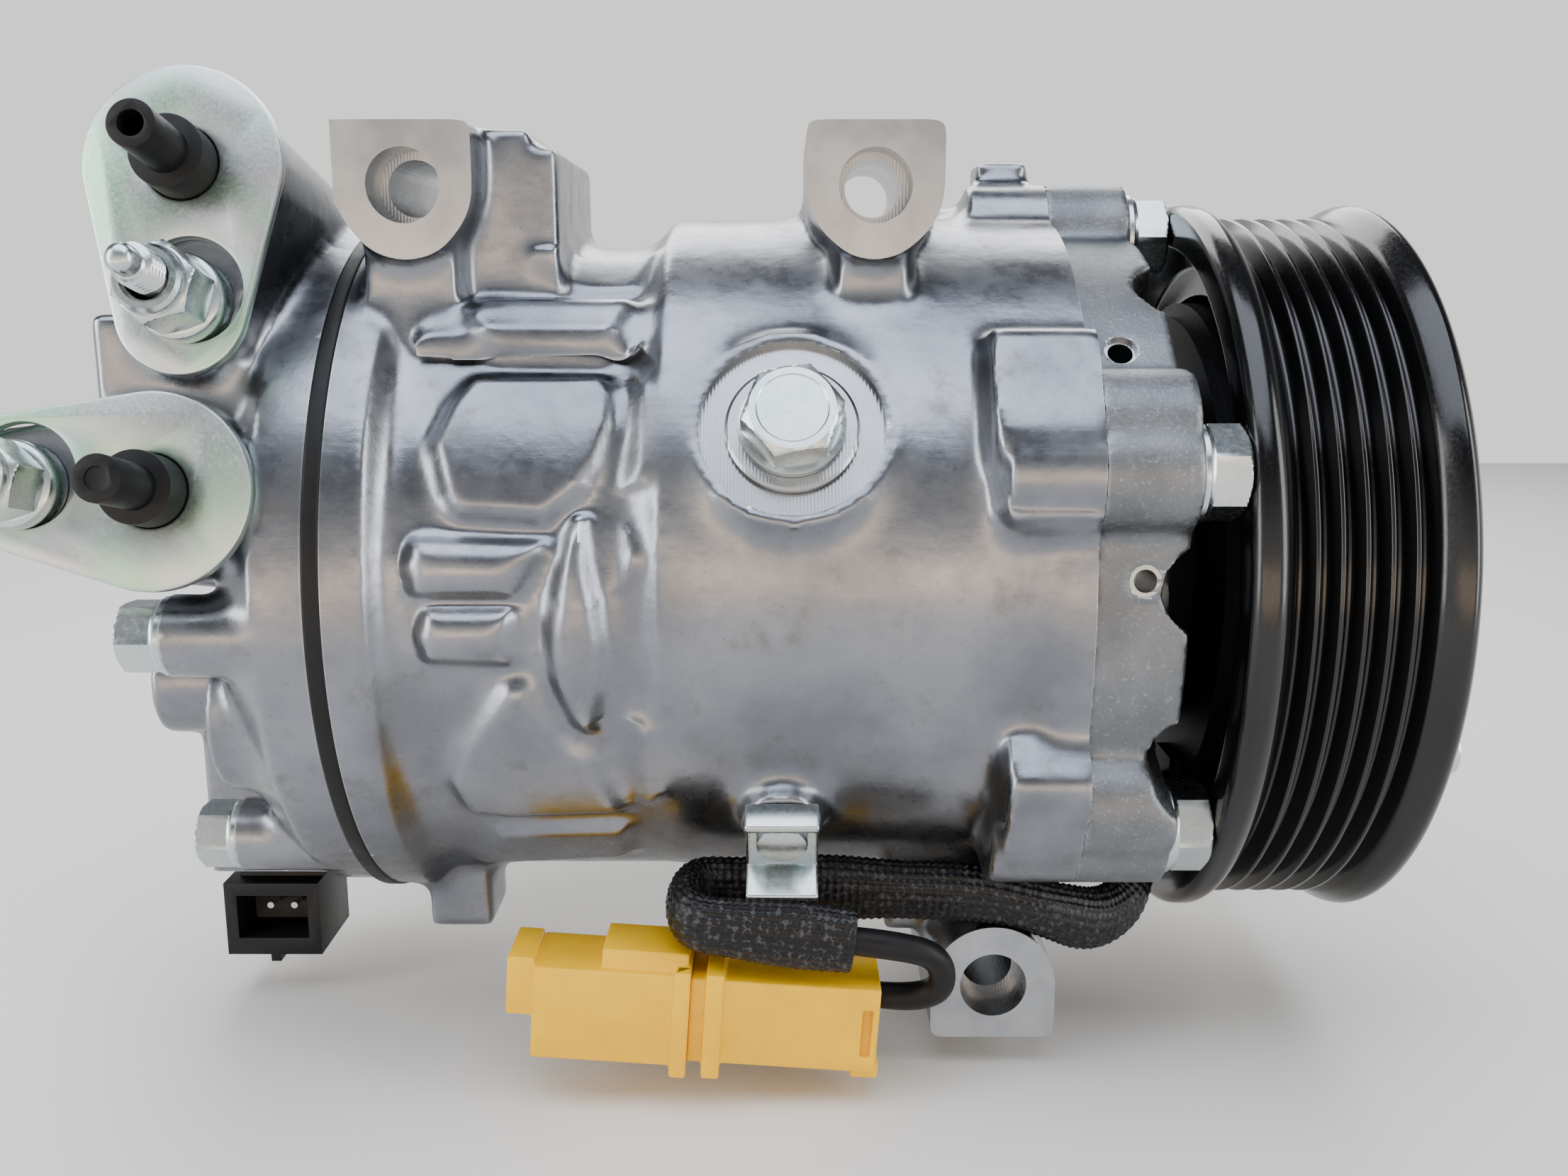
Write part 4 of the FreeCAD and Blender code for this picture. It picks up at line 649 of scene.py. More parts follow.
def nodeBox(node):
    low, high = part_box(node)
    return np.array(low) / mm, np.array(high) / mm


# Main casting

bodyCasting = {
    "voxel": 0.7, "roundPasses": 5, "filletPasses": 46, "lastPasses": (4, 14), "facing": 3.0, "core": 53,
    "reliefRadius": 56.5, "reliefReach": (51, 62),
    "waist": {"radius": 54.6, "x": (-141.5, -103.6), "angle": (-60, 45), "fade": 3.5, "turnFade": 4,
              "under": 3, "over": 6},
    "reliefs": [
        # cylinder walls that stand out of the waist
        {"height": 2.6, "edge": 1.6, "outline": [
            (-131.6, 34), (-133.9, 27), (-131.7, 19), (-130, 16.2), (-117, 15.4), (-111.7, 20), (-109.4, 24),
            (-107.6, 29.8), (-107.4, 35), (-109, 38.4), (-128.7, 38.4)]},
        {"height": 2.4, "edge": 1.6, "outline": [
            (-123.6, -9.5), (-121, -9.2), (-115, -20), (-111.6, -22.3), (-107.3, -35.3), (-125, -36.5),
            (-132, -35.3), (-133.7, -28), (-131.4, -21.5)]},
        {"height": 1.9, "edge": 1.4, "outline": [
            (-107.6, -39.8), (-108.2, -52.6), (-134.8, -57), (-128.7, -41)]},
        {"height": 1.5, "edge": 1.2, "outline": [
            (-130, 47.2), (-129, 53), (-104.7, 53), (-109.6, 41), (-126, 42)]},
        {"height": 1.5, "edge": 0.9, "outline": [
            (-123.5, 69.5), (-103, 69.5), (-105.5, 57.3), (-121.8, 57.3)]},
        # two rounded ribs and the lens-shaped swelling beside them
        {"height": 3.4, "crown": 4.6, "outline": [
            (-136.6, 13.2), (-138.2, 9), (-136.7, 3.8), (-121.6, 3.8), (-116, 12.5)]},
        {"height": 3.2, "crown": 4.4, "outline": [
            (-135.1, 2.6), (-136.7, -1.8), (-135.5, -6.2), (-122, -6.8), (-121.6, 2.6)]},
        {"height": 3.6, "crown": 5.0, "outline": [
            (-112.9, 17), (-115.9, 8), (-117.4, -0.7), (-117.4, -6), (-116.6, -10.5), (-114.6, -15.7),
            (-111.2, -19.5), (-108.8, -10.5), (-108.4, -3), (-109.2, 4), (-110.6, 9.6), (-111.3, 16.4)]},
        # low step that the flange bosses stand on
        {"height": 1.4, "edge": 0.7, "outline": [
            (-53.3, 31.6), (-52.8, 39.5), (-50.5, 41.4), (-38, 41.4), (-38, 13), (-49.6, 13), (-52.4, 15.5)]},
        {"height": 1.2, "edge": 0.8, "outline": [
            (-51, -19.5), (-38, -19.5), (-38, -39), (-48.5, -38), (-51, -33)]},
    ],
}
# in every seat below, fill is the metal added before softening, and the other radii are cut back into it
ears = {"facing": 7.0, "mill": 16, "millDeep": 12, "sideMill": 17, "sideDeep": 6, "sideAlong": (0, 28),
        "side": 9.25, "recessFill": 7, "boreFill": 5.5, "lead": 9, "through": 120}
oilSeat = {"fill": 13, "below": 12, "mill": 13.6, "thread": 5.98, "deep": 14}
clipSeat = {"fill": 4, "fillDeep": 7, "thread": 2.0, "deep": 14}
flangeThread = {"fill": 5, "fillDeep": 14, "thread": 3.92, "deep": 20}
bosses = {"low": 48, "high": 65.3, "corner": 4.2,
          "angleWidthBack": [(32.0, 10.8, 14.6), (-29.0, 10.4, 11.2)]}
inside = {"crankcase": 51.4, "crankDeep": 80, "bearing": 13.0, "bearingDeep": 22, "centreHole": 4.0,
          "shaftEnd": 9.1, "shaftEndFrom": 27, "cylinder": 14.3, "pistonLong": 40, "boltThread": 2.97}
jointMill = {"radius": 90, "deep": 8}


def mainCasting():
    low, high = nodeBox("cylinder_body")
    rear, front = low[0], high[0]
    bores = [mountPlace(f"{word}_ear_bore") for word in ("rear", "front", "low")]
    recesses = [mountPlace(f"{word}_ear_sleeve_recess") for word in ("rear", "front", "low")]
    fills = [plainRod((rear - 2, 0, 0), shaftWay, bodyCasting["core"], front - rear + 4, 96)]
    cuts = [cutFor((front, 0, 0), shaftWay, jointMill["radius"], jointMill["deep"]),
            cutFor((rear - jointMill["deep"], 0, 0), shaftWay, jointMill["radius"], jointMill["deep"])]
    points = cornersOf(frame["nodes"]["cylinder_body"].data)
    recess, wide = recesses[0]
    near = np.hypot(points[:, 0] - recess[0], points[:, 2] - recess[2]) < wide["r_mm"] + 0.1
    face = points[near, 1].min()
    for (bore, size), (recess, wide) in zip(bores, recesses):
        recessDeep = 2 + recess[1] - face + 4
        boreDeep = bore[1] - face + size["length_mm"] / 2 - 0.5
        fills.append(plainRod((bore[0], face - 2, bore[2]), -boltSide, ears["recessFill"], recessDeep))
        fills.append(plainRod((bore[0], face, bore[2]), -boltSide, ears["boreFill"], boreDeep))
        cuts.append(cutFor((bore[0], face - ears["millDeep"], bore[2]), -boltSide,
                           ears["mill"], ears["millDeep"]))
        up = math.copysign(1, bore[2])
        for step in ears["sideAlong"]:
            side = (bore[0], face + step, bore[2] + up * ears["side"])
            cuts.append(cutFor(side, (0, 0, up), ears["sideMill"], ears["sideDeep"]))
        cuts.append(cutFor((bore[0], face - ears["lead"], bore[2]), -boltSide, size["r_mm"], ears["through"]))
        cuts.append(cutFor((recess[0], face - ears["lead"], recess[2]), -boltSide, wide["r_mm"],
                           ears["lead"] + recess[1] + wide["length_mm"] / 2 - face))
    washer, _ = axisOf(solidsOf("oil_plug_washer")[0], oilWay)
    under = washer - np.array(oilWay) * oilSeat["below"]
    fills.append(plainRod(under, oilWay, oilSeat["fill"], oilSeat["below"] + 0.4))
    cuts.append(cutFor(washer, oilWay, oilSeat["mill"], oilSeat["deep"]))
    cuts.append(cutFor(under, oilWay, oilSeat["thread"], oilSeat["deep"]))
    clip, _ = axisOf(solidsOf("harness_clip_screw")[0], clipWay)
    fills.append(plainRod(clip, clipWay, clipSeat["fill"], clipSeat["fillDeep"]))
    cuts.append(cutFor(clip - np.array(clipWay) * 0.5, clipWay, clipSeat["thread"], clipSeat["deep"]))
    for points in solidsOf("front_flange_bolts"):
        spot, _ = axisOf(points, shaftWay)
        fills.append(plainRod((front - flangeThread["fillDeep"], spot[1], spot[2]), shaftWay,
                              flangeThread["fill"], flangeThread["fillDeep"]))
        cuts.append(cutFor((spot[0] - 1, spot[1], spot[2]), shaftWay, flangeThread["thread"],
                           flangeThread["deep"]))
    for angle, half, back in bosses["angleWidthBack"]:
        turn = np.array(Matrix.Rotation(math.radians(90 - angle), 3, "X")).T
        start, end, corner = front - back, front + 0.5, bosses["corner"]
        floor, top = bosses["low"], bosses["high"]
        shapes = [boxShape((start, -half, floor), (end, half, top - corner)),
                  boxShape((start, corner - half, floor), (end, half - corner, top))]
        shapes += [plainRod((start, side * (half - corner), top - corner), shaftWay, corner, end - start)
                   for side in (-1, 1)]
        fills += [(points @ turn, faces) for points, faces in shapes]
    # inside: crankcase, bearing seat, cylinders and the head bolts' threads
    wall = nodeBox("rear_thrust_bearing")[0][0]
    start = rear - 9
    cuts.append(cutFor((wall, 0, 0), shaftWay, inside["crankcase"], inside["crankDeep"]))
    cuts.append(cutFor((wall - inside["bearingDeep"], 0, 0), shaftWay, inside["bearing"],
                       inside["bearingDeep"] + 1))
    cuts.append(cutFor((start, 0, 0), shaftWay, inside["centreHole"], 60))
    cuts.append(cutFor((wall - inside["shaftEndFrom"], 0, 0), shaftWay, inside["shaftEnd"], 10))
    for points in solidsOf("pistons"):
        if np.ptp(points[:, 0]) > inside["pistonLong"]:
            spot, _ = axisOf(points, shaftWay)
            cuts.append(cutFor((start, spot[1], spot[2]), shaftWay, inside["cylinder"], wall - rear + 10))
    for points in solidsOf("rear_head_bolts"):
        spot, length = axisOf(points, shaftWay)
        cuts.append(cutFor((start, spot[1], spot[2]), shaftWay, inside["boltThread"],
                           9 + spot[0] + length + 1 - rear))
    grow = bodyCasting["facing"]
    pushes = [(0, front, grow), (0, rear, -grow), (1, face, -ears["facing"])]
    mesh = castCopy("cylinder_body", fills, pushes, bodyCasting["voxel"])
    soften(mesh, bodyCasting["roundPasses"], bodyCasting["filletPasses"])
    plainWaist(mesh, bodyCasting["waist"])
    raiseReliefs(mesh, bodyCasting["reliefs"], bodyCasting["reliefRadius"], bodyCasting["reliefReach"])
    soften(mesh, *bodyCasting["lastPasses"])
    return makePiece("main_casting", machine(mesh, cuts), ["dieCast", "machined"], ["cylinder_body"], 38)


oilWay = Vector((0, *around(1, 28.8)))
clipWay = Vector((0, *around(1, -33)))
mainCasting()
print("main casting made")


# Front housing: flange softened, bearing nose left true, holes cut again

frontCasting = {"voxel": 0.7, "roundPasses": 3, "filletPasses": 24, "softFrom": 47.0, "softFade": 2,
                "boltFill": 5, "boltHole": 4.3, "boltDeep": 22, "seat": 8.3, "seatDeep": 5}
# holes in the flange's rim: how far from the joint, at what angle, how wide
rimHoles = [(5.6, 43, 1.9), (7.4, 6.5, 1.7)]
rimHole = {"foot": 49, "fill": 3.2, "fillDeep": 6, "deep": 20, "lead": 4, "chamferFrom": 6.9, "chamfer": 0.7}


def frontHousing():
    rear = nodeBox("cylinder_body")[1][0]
    bolts = [axisOf(p, shaftWay)[0] for p in solidsOf("front_flange_bolts")]
    face = max(p[:, 0].max() for p in solidsOf("front_flange_bolts")) - boltShape["headHeight"]
    fills = [plainRod((rear - 1, b[1], b[2]), shaftWay, frontCasting["boltFill"], face - rear + 3)
             for b in bolts]
    cuts = [cutFor((rear - 1, b[1], b[2]), shaftWay, frontCasting["boltHole"], frontCasting["boltDeep"])
            for b in bolts]
    cuts += [cutFor((face, b[1], b[2]), shaftWay, frontCasting["seat"], frontCasting["seatDeep"])
             for b in bolts]
    for x, angle, radius in rimHoles:
        way = Vector((0, *around(1, angle)))
        start = Vector((rear + x, 0, 0)) + way * rimHole["foot"]
        fills.append(plainRod(start, way, rimHole["fill"], rimHole["fillDeep"]))
        cuts.append(cutFor(start - way * rimHole["lead"], way, radius, rimHole["deep"]))
        cuts.append(cutFor(start + way * rimHole["chamferFrom"], way, radius + rimHole["chamfer"], 9))
    mesh = castCopy("front_housing", fills, [], frontCasting["voxel"])
    points = cornersOf(mesh)
    outer = np.hypot(points[:, 1], points[:, 2])
    where = np.clip((outer - frontCasting["softFrom"]) / frontCasting["softFade"], 0, 1)
    where = where * (points[:, 0] > rear + 0.6)
    soften(mesh, frontCasting["roundPasses"], frontCasting["filletPasses"], where)
    return makePiece("front_housing_casting", machine(mesh, cuts), ["sandCast", "machined"],
                     ["front_housing"], 38)


# Rear head: port pillars, valve block and bolt bosses flow into one skin, then the seats are cut

headCasting = {"voxel": 0.7, "roundPasses": 5, "filletPasses": 60, "grow": 3.0, "boltFill": 4,
               "boltSeat": 6.6, "boltHole": 3.3, "portFill": 7, "portBore": 5.6, "studFill": 4.5,
               "studBore": 3.0, "valveFill": 8.4, "valveMill": 30, "valveMillDeep": 20, "valveBore": 7.65}


def rearHead():
    front = nodeBox("rear_head")[1][0]
    grow = headCasting["grow"]
    seat = min(p[:, 0].min() for p in solidsOf("rear_head_bolts")) + boltShape["headHeight"]
    valve = nodeBox("control_valve")
    valveSpot = (valve[0] + valve[1]) / 2
    underside = nodeBox("control_valve_connector")[1][2]
    fills, cuts = [], [cutFor((front, 0, 0), shaftWay, jointMill["radius"], jointMill["deep"])]
    for points in solidsOf("rear_head_bolts"):
        spot, _ = axisOf(points, -shaftWay)
        fills.append(plainRod((seat - 1, spot[1], spot[2]), shaftWay, headCasting["boltFill"],
                              front - seat + 1))
        cuts.append(cutFor((seat - 9, spot[1], spot[2]), shaftWay, headCasting["boltSeat"], 9))
        cuts.append(cutFor((seat - 1, spot[1], spot[2]), shaftWay, headCasting["boltHole"], front - seat + 4))
    for node in ("suction_port_plug", "discharge_port_plug"):
        spot, _ = axisOf(solidsOf(node)[0], portWay)
        fills.append(plainRod(spot - np.array(portWay) * 10, portWay, headCasting["portFill"], 18))
        cuts.append(cutFor(spot - np.array(portWay) * 8, portWay, headCasting["portBore"], 30))
    for points in solidsOf("port_studs"):
        spot, _ = axisOf(points, portWay)
        fills.append(plainRod(spot - np.array(portWay) * 2, portWay, headCasting["studFill"], 14))
        cuts.append(cutFor(spot - np.array(portWay), portWay, headCasting["studBore"], 30))
    upward, top = (0, 0, 1), valve[1][2] - underside
    fills.append(plainRod((valveSpot[0], valveSpot[1], underside - 1), upward, headCasting["valveFill"], top))
    cuts.append(cutFor((valveSpot[0], valveSpot[1], underside - headCasting["valveMillDeep"]), upward,
                       headCasting["valveMill"], headCasting["valveMillDeep"]))
    cuts.append(cutFor((valveSpot[0], valveSpot[1], underside - 5), upward,
                       headCasting["valveBore"], top + 5.5))
    pushes = [(0, front, grow), (0, seat, -grow), (2, underside, -grow)]
    mesh = castCopy("rear_head", fills, pushes, headCasting["voxel"])
    soften(mesh, headCasting["roundPasses"], headCasting["filletPasses"])
    return makePiece("rear_head_casting", machine(mesh, cuts), ["dieCast", "machined"], ["rear_head"], 38)


# Fasteners, all turned from a stack of rings whose radius may change with the angle

boltShape = {"headHeight": 7.2, "flangeHeight": 1.8, "chamfer": 0.95, "overCorners": 1.155, "steps": 96}
threadShape = {"pitch": 1.0, "depth": 0.62, "steps": 40}


def hexRadius(across, steps):
    turn = np.arange(steps) * 2 * math.pi / steps
    return across / np.cos((turn % (math.pi / 3)) - math.pi / 6)


def hexRings(low, high, across, bottom=False):
    # the corners are cut by a 30 degree cone, as a bolt head's are
    steps = boltShape["steps"]
    corners = hexRadius(across, steps)
    narrow = across * boltShape["chamfer"]
    fall = (across * boltShape["overCorners"] - narrow) / math.sqrt(3)
    levels = np.linspace(0, fall, 5)
    cone = [np.minimum(corners, narrow + d * math.sqrt(3)) for d in levels]
    foot = [(low + d, radius) for d, radius in zip(levels, cone)] if bottom else [(low, corners)]
    return foot + [(high - d, radius) for d, radius in zip(levels[::-1], cone[::-1])]


def flangeBolt(length, shank, across, flange):
    head = length - boltShape["headHeight"]
    disc = head + boltShape["flangeHeight"]
    top = length - 0.25
    return lathe([(0, 0), (0, shank - 0.8), (0.8, shank), (head, shank), (head, flange - 0.2),
                  (head + 0.2, flange), (head + 0.9, flange), (head + 1.3, flange - 0.3),
                  (disc - 0.1, across * 1.13)]
                 + hexRings(disc, length, across)
                 + [(length, across * 0.82), (top, across * 0.74), (top, 0)], boltShape["steps"])


def thread(low, high, radius):
    steps, pitch = threadShape["steps"], threadShape["pitch"]
    turn = np.arange(steps) / steps
    rings = []
    for z in np.arange(low, high, pitch / 6):
        phase = (z / pitch - turn) % 1
        taper = min(1, (high - z) / 1.6 + 0.35)
        rings.append((z, (radius - threadShape["depth"] * np.abs(2 * phase - 1)) * taper))
    return rings


def flangeBolts(node, way, shank, across, flange):
    shapes = []
    for i, points in enumerate(solidsOf(node)):
        start, length = axisOf(points, way)
        shapes.append(stand(flangeBolt(length, shank, across, flange), start, way, 0.6 * i))
    makePiece(node + "_turned", meshOf(node, merge(shapes)), "zinc", [node], 30)


plugShape = {"shank": 5.95, "headHeight": 7, "flange": 7.8, "across": 6.5}
washerShape = {"bore": 6, "rim": 9.8}
nutShape = {"bore": 3.02, "flange": 6.4, "across": 5.2, "collar": 4.75}
studShape = {"thread": 2.98, "pin": 2.1}


def oilPlug():
    start, length = axisOf(solidsOf("oil_plug")[0], oilWay)
    base, shank, flange = length - plugShape["headHeight"], plugShape["shank"], plugShape["flange"]
    shape = lathe([(0, 0), (0, 5), (0.9, shank), (base, shank), (base, 7.6), (base + 0.2, flange),
                   (base + 1.3, flange), (base + 1.6, 6.9)]
                  + hexRings(base + 1.6, length, plugShape["across"])
                  + [(length, 5.2), (length - 0.15, 5.0), (length - 0.15, 0)], boltShape["steps"])
    mesh = meshOf("oil_plug", stand(shape, start, oilWay, 0.18))
    makePiece("oil_plug_turned", mesh, "zinc", ["oil_plug"], 30)
    start, length = axisOf(solidsOf("oil_plug_washer")[0], oilWay)
    bore, rim = washerShape["bore"], washerShape["rim"]
    ring = lathe([(0, bore), (0, 9.5), (0.25, rim), (length - 0.35, rim), (length, 9.35), (length, bore)],
                 96, True)
    makePiece("oil_plug_washer_ring", meshOf("washer", stand(ring, start, oilWay)), "machined",
              ["oil_plug_washer"], 30)


def portHardware():
    nuts, studs = [], []
    for points in solidsOf("port_nuts"):
        start, _ = axisOf(points, portWay)
        bore, flange, collar = nutShape["bore"], nutShape["flange"], nutShape["collar"]
        rings = [(0, bore), (0, 6.2), (0.25, flange), (3.9, flange), (4.6, 6.1), (5, 5.4)]
        rings += hexRings(5, 13, nutShape["across"], True)
        rings += [(13, collar), (14.4, collar), (15, 4.3), (15, 3.5), (14.5, bore)]
        nuts.append(stand(lathe(rings, boltShape["steps"], True), start, portWay, 0.3))
    for points in solidsOf("port_studs"):
        start, length = axisOf(points, portWay)
        rings = [(0, 0), (0, 2.4)] + thread(0.4, length - 3.2, studShape["thread"])
        rings += [(length - 3.0, studShape["pin"]), (length - 1.2, 2.05), (length - 0.4, 1.6),
                  (length, 0.9), (length, 0)]
        studs.append(stand(lathe(rings, threadShape["steps"]), start, portWay))
    makePiece("port_nuts_turned", meshOf("nuts", merge(nuts)), "zinc", ["port_nuts"], 30)
    makePiece("port_studs_rolled", meshOf("studs", merge(studs)), "zinc", ["port_studs"], 40)


# Turned pieces: the half section is read from the solid, its corners rounded, and turned again finely

def sectionOf(node):
    grid = weldedGrid(node)
    cut = bmesh.ops.bisect_plane(grid, geom=grid.verts[:] + grid.edges[:] + grid.faces[:], plane_co=(0, 0, 0),
                                 plane_no=(0, 1, 0))["geom_cut"]
    edges = [e for e in cut if isinstance(e, bmesh.types.BMEdge) and (e.verts[0].co.z + e.verts[1].co.z) > 0]
    links = {}
    for edge in edges:
        for a, b in (edge.verts[:], edge.verts[:][::-1]):
            links.setdefault(tuple(round(c / mm, 3) for c in (a.co.x, a.co.z)), []).append(
                tuple(round(c / mm, 3) for c in (b.co.x, b.co.z)))
    loops = []
    while links:
        start = next(iter(links))
        loop = [start]
        while True:
            following = [p for p in links.get(loop[-1], []) if p not in loop[-2:]]
            links.pop(loop[-1], None)
            if not following or following[0] == start or following[0] in loop:
                break
            loop.append(following[0])
        loops.append(loop)
    grid.free()
    outline = np.array(max(loops, key=len))
    ahead, behind = np.roll(outline, -1, 0) - outline, outline - np.roll(outline, 1, 0)
    bend = np.abs(ahead[:, 0] * behind[:, 1] - ahead[:, 1] * behind[:, 0])
    return outline[bend > 1e-3 * np.linalg.norm(ahead, axis=1) * np.linalg.norm(behind, axis=1)]


def roundedOutline(outline, radius, steps=3):
    points = []
    for a, b, c in zip(np.roll(outline, 1, 0), outline, np.roll(outline, -1, 0)):
        before, after = a - b, c - b
        lengths = np.linalg.norm(before), np.linalg.norm(after)
        reach = min(radius, 0.42 * lengths[0], 0.42 * lengths[1])
        first, last = b + before / lengths[0] * reach, b + after / lengths[1] * reach
        for t in np.linspace(0, 1, steps + 1):
            points.append((1 - t) ** 2 * first + 2 * t * (1 - t) * b + t ** 2 * last)
    return points


def turnedCopy(node, radius, steps):
    rings = [tuple(p) for p in roundedOutline(sectionOf(node), radius)]
    shape = stand(lathe(rings, steps, True), (0, 0, 0), shaftWay)
    makePiece(node + "_turned", meshOf(node, shape), slotFinish[nodeSlot[node]], [node], 40)


# Harness: a woven sleeve, flattened and folded back on itself, and the lead that comes out of it

harness = {
    "sleeve": [(-20.6, -19.5, -42.0), (-21.0, -25.0, -52.5), (-29.0, -31.5, -57.5), (-40.0, -37.6, -52.0),
               (-50.0, -38.2, -49.0), (-64.0, -38.2, -48.4), (-78.0, -38.8, -47.8), (-90.0, -40.2, -47.0),
               (-98.0, -41.2, -46.6), (-98.2, -52.4, -47.6), (-89.5, -53.0, -48.6), (-72.0, -52.4, -50.8)],
    "lead": [(-72.0, -52.4, -50.8), (-65.1, -52.2, -51.7), (-58.5, -51.0, -54.0), (-57.4, -49.0, -60.4),
             (-62.5, -47.0, -63.2), (-68.0, -46.2, -62.9)],
    "tail": [(-16.6, -18.7, -35.5), (-19.6, -18.9, -37.4), (-20.6, -19.5, -42.0)],
    "sleeveHigh": 4.9, "sleeveThick": 3.1, "leadRadius": 2.1, "strand": 1.25, "weave": 0.22,
}


def smoothPath(route, spacing):
    # evenly spaced points on the smooth line through the route
    curve = bpy.data.curves.new("route", "CURVE")
    curve.dimensions = "3D"
    line = curve.splines.new("NURBS")
    line.points.add(len(route) - 1)
    for point, spot in zip(line.points, route):
        point.co = (*(c * mm for c in spot), 1)
    line.order_u = 3
    line.use_endpoint_u = True
    curve.resolution_u = 24
    holder = bpy.data.objects.new("route", curve)
    bpy.context.collection.objects.link(holder)
    mesh = bpy.data.meshes.new_from_object(holder.evaluated_get(bpy.context.evaluated_depsgraph_get()))
    points = cornersOf(mesh)
    bpy.data.objects.remove(holder)
    length = np.r_[0, np.cumsum(np.linalg.norm(np.diff(points, axis=0), axis=1))]
    marks = np.linspace(0, length[-1], max(8, int(length[-1] / spacing)))
    return np.c_[[np.interp(marks, length, points[:, k]) for k in range(3)]].T, marks


def sweep(name, route, size, spacing, steps, weave=0.0, strand=1.0):
    # size is half the height and half the thickness; the height stays as upright as the route allows
    path, marks = smoothPath(route, spacing)
    along = np.gradient(path, axis=0)
    along /= np.linalg.norm(along, axis=1)[:, None]
    side = np.cross(along, (0, 0, 1.0))
    side /= np.maximum(np.linalg.norm(side, axis=1)[:, None], 0.25)
    up = np.cross(side, along)
    turn = np.arange(steps) * 2 * math.pi / steps
    girth = turn * (size[0] + size[1]) / 2
    wall = np.array(size)
    crossing = (np.sin((girth[None, :] + marks[:, None]) * math.pi / strand)
                * np.sin((girth[None, :] - marks[:, None]) * math.pi / strand))
    swell = 1 + weave * crossing / wall.mean()
    droop = 1 + 0.06 * np.sin(marks / 9.0)[:, None] + 0.04 * np.sin(marks / 3.7 + 1)[:, None]
    points = (path[:, None, :] + up[:, None, :] * (wall[0] * np.sin(turn) * swell * droop)[:, :, None]
              + side[:, None, :] * (wall[1] * np.cos(turn) * swell)[:, :, None])
    count = len(path)
    faces = []
    for i in range(count - 1):
        for j in range(steps):
            k = (j + 1) % steps
            faces.append((i * steps + j, i * steps + k, (i + 1) * steps + k, (i + 1) * steps + j))
    faces += [list(range(steps))[::-1], [(count - 1) * steps + j for j in range(steps)]]
    mesh = meshOf(name, (points.reshape(-1, 3), faces))
    cover = mesh.uv_layers.new(name="weave")
    corners = np.empty(len(mesh.loops), np.int32)
    mesh.loops.foreach_get("vertex_index", corners)
    across = (corners % steps) * (2 * math.pi / steps) * wall.mean()
    down = marks[corners // steps]
    cover.data.foreach_set("uv", np.c_[across, down].astype(np.float32).ravel())
    return mesh


def harnessPieces():
    sleeve = sweep("sleeve", harness["sleeve"], (harness["sleeveHigh"], harness["sleeveThick"]), 0.3, 96,
                   harness["weave"], harness["strand"])
    makePiece("woven_sleeve", sleeve, "braid", ["coil_lead_sleeve"], 180)
    radius = (harness["leadRadius"],) * 2
    ends = [sweep("lead", harness[word], radius, 0.6, 32) for word in ("lead", "tail")]
    grid = bmesh.new()
    for mesh in ends:
        grid.from_mesh(mesh)
    both = bpy.data.meshes.new("lead")
    grid.to_mesh(both)
    grid.free()
    makePiece("coil_lead_wire", both, "rubber", ["coil_lead"], 60)


frontHousing()
rearHead()
print("front and rear castings made")
flangeBolts("front_flange_bolts", shaftWay, 3.9, 6.2, 7.4)
flangeBolts("rear_head_bolts", -shaftWay, 2.95, 4.9, 5.9)
oilPlug()
portHardware()
print("fasteners made")
turnedCopy("pulley", 0.7, 256)
turnedCopy("joint_seal", 0.5, 192)
harnessPieces()
print("pulley, seal and harness made")
roundedWidths = {
    "suction_port_plate": 0.55, "discharge_port_plate": 0.55, "suction_port_plug": 0.5,
    "discharge_port_plug": 0.5, "control_valve_connector": 0.9, "harness_clip": 0.5,
    "harness_clip_screw": 0.4, "harness_plug_fixed_half": 0.45, "harness_plug_cable_half": 0.45,
    "armature_plate": 0.4, "clutch_leaf_spring": 0.2, "clutch_rivets": 0.5, "clutch_hub": 0.5,
    "shaft_nut": 0.5,
}
for name, width in roundedWidths.items():
    bevelledCopy(name, width)
print("plates, plugs and clutch made")


# Light and stage

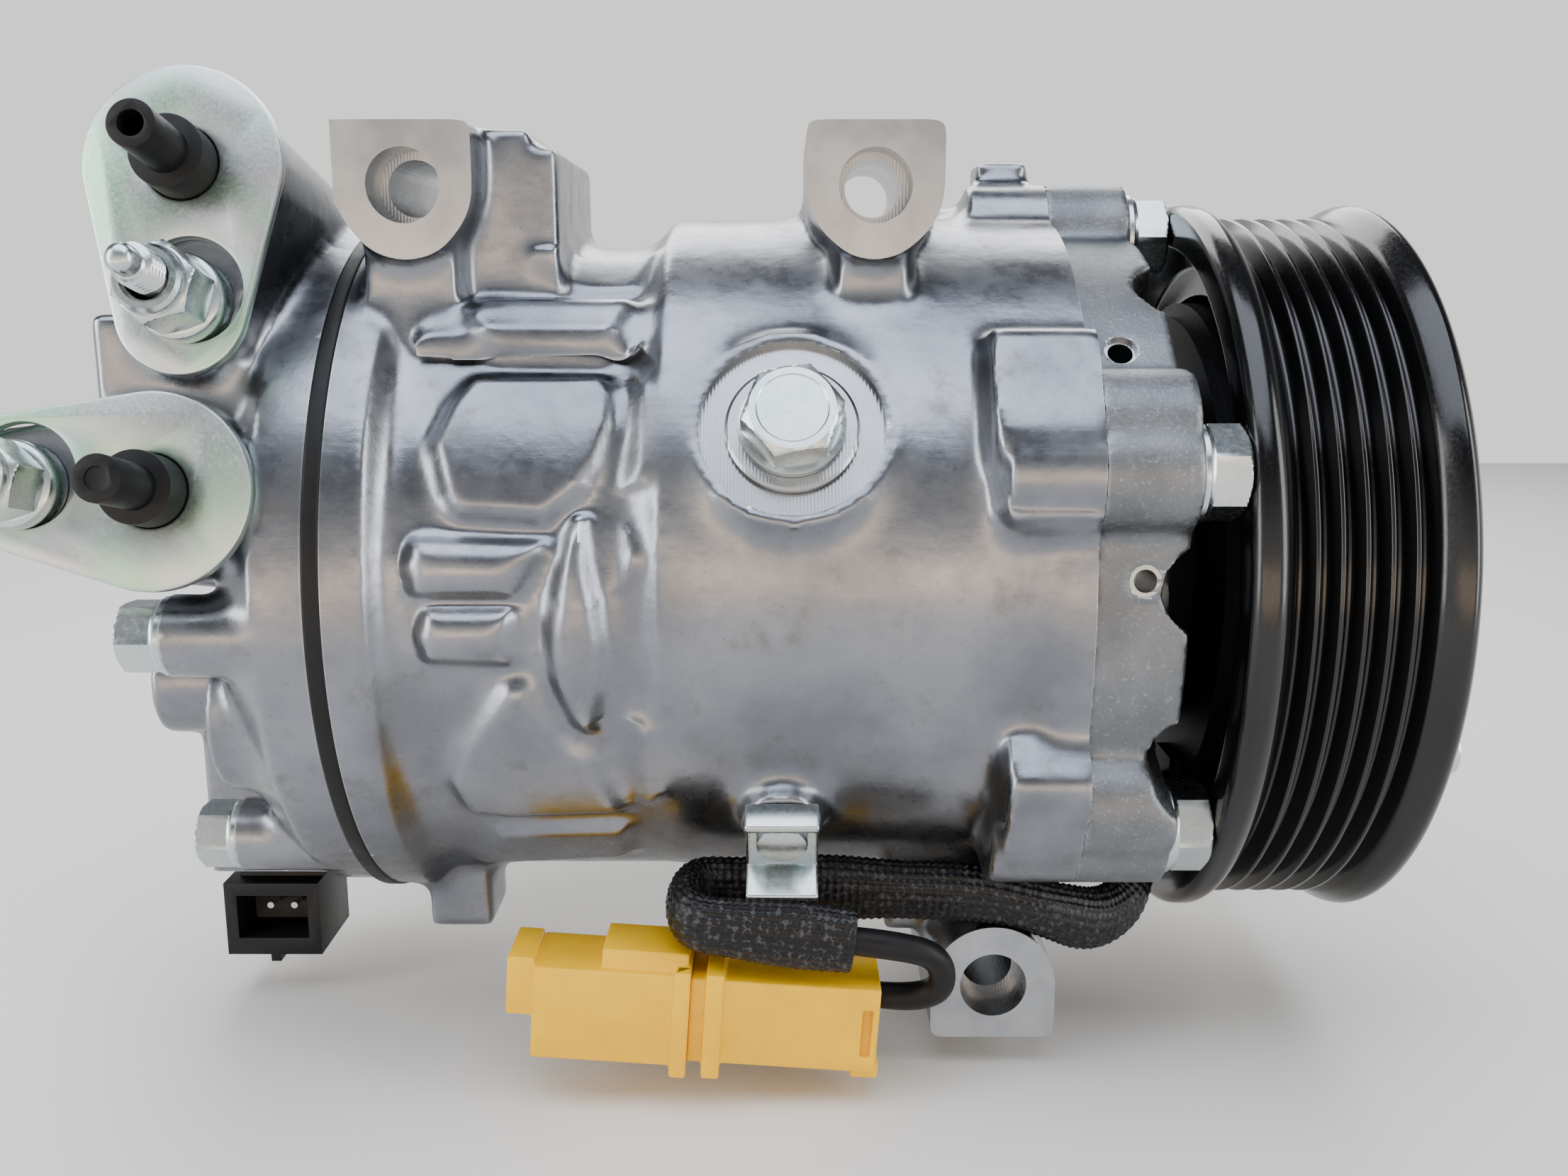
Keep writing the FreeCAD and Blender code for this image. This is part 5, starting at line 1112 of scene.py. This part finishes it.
stage = {"floor": "#E9E7E3", "size": 1.7, "drop": 4.0}
lamps = [
    # name, place, aims at, width, height, watts, colour
    ("top softbox", (-0.15, -0.25, 0.75), (-0.08, 0, 0), 0.9, 0.7, 9, "#EAF1FF"),
    ("low warm card", (-0.1, -0.75, -0.02), (-0.08, 0, -0.02), 1.2, 0.22, 2.0, "#FFD9B0"),
    ("left strip", (-0.75, -0.35, 0.15), (-0.1, 0, 0), 0.25, 0.8, 4, "#FFFFFF"),
    ("right strip", (0.6, -0.35, 0.2), (-0.05, 0, 0), 0.25, 0.8, 4, "#FFFFFF"),
    ("back softbox", (-0.1, 0.7, 0.6), (-0.08, 0, 0), 0.9, 0.5, 8, "#FFFFFF"),
]


def makeStage():
    depth = cadBox[0][2] - stage["drop"] * mm
    half = stage["size"] / 2
    mesh = bpy.data.meshes.new("floor")
    corners = [(-half, -half, depth), (half, -half, depth), (half, half, depth), (-half, half, depth)]
    mesh.from_pydata(corners, [], [(0, 1, 2, 3)])
    material, tree, shader, place = startFinish("pale matt floor", 0.0, 0.7, 1.45)
    wire(tree, shader, tint(tree, noise(tree, place, 90, 2), stage["floor"], "#E4E2DE"))
    mesh.materials.append(material)
    floor = bpy.data.objects.new("floor", mesh)
    bpy.context.collection.objects.link(floor)
    for name, place, target, width, height, watts, colour in lamps:
        lamp = bpy.data.lights.new(name, "AREA")
        lamp.shape = "RECTANGLE"
        lamp.size, lamp.size_y = width, height
        lamp.energy = watts
        lamp.color = hexToLinear(colour)[:3]
        holder = bpy.data.objects.new(name, lamp)
        holder.location = place
        holder.rotation_euler = (Vector(target) - Vector(place)).to_track_quat("-Z", "Y").to_euler()
        bpy.context.collection.objects.link(holder)
    world = bpy.data.worlds.new("studio")
    bpy.context.scene.world = world
    world.use_nodes = True
    tree = world.node_tree
    sky = addNode(tree, "ShaderNodeTexCoord").outputs["Generated"]
    up = addNode(tree, "ShaderNodeSeparateXYZ", None, {0: sky})
    both = tint(tree, spread(tree, up.outputs[2], 0.2, 0.6), "#F6F5F3", "#4A4C51")
    back = tree.nodes["Background"]
    tree.links.new(both, back.inputs["Color"])
    back.inputs["Strength"].default_value = 1.25


makeStage()
print("stage made")
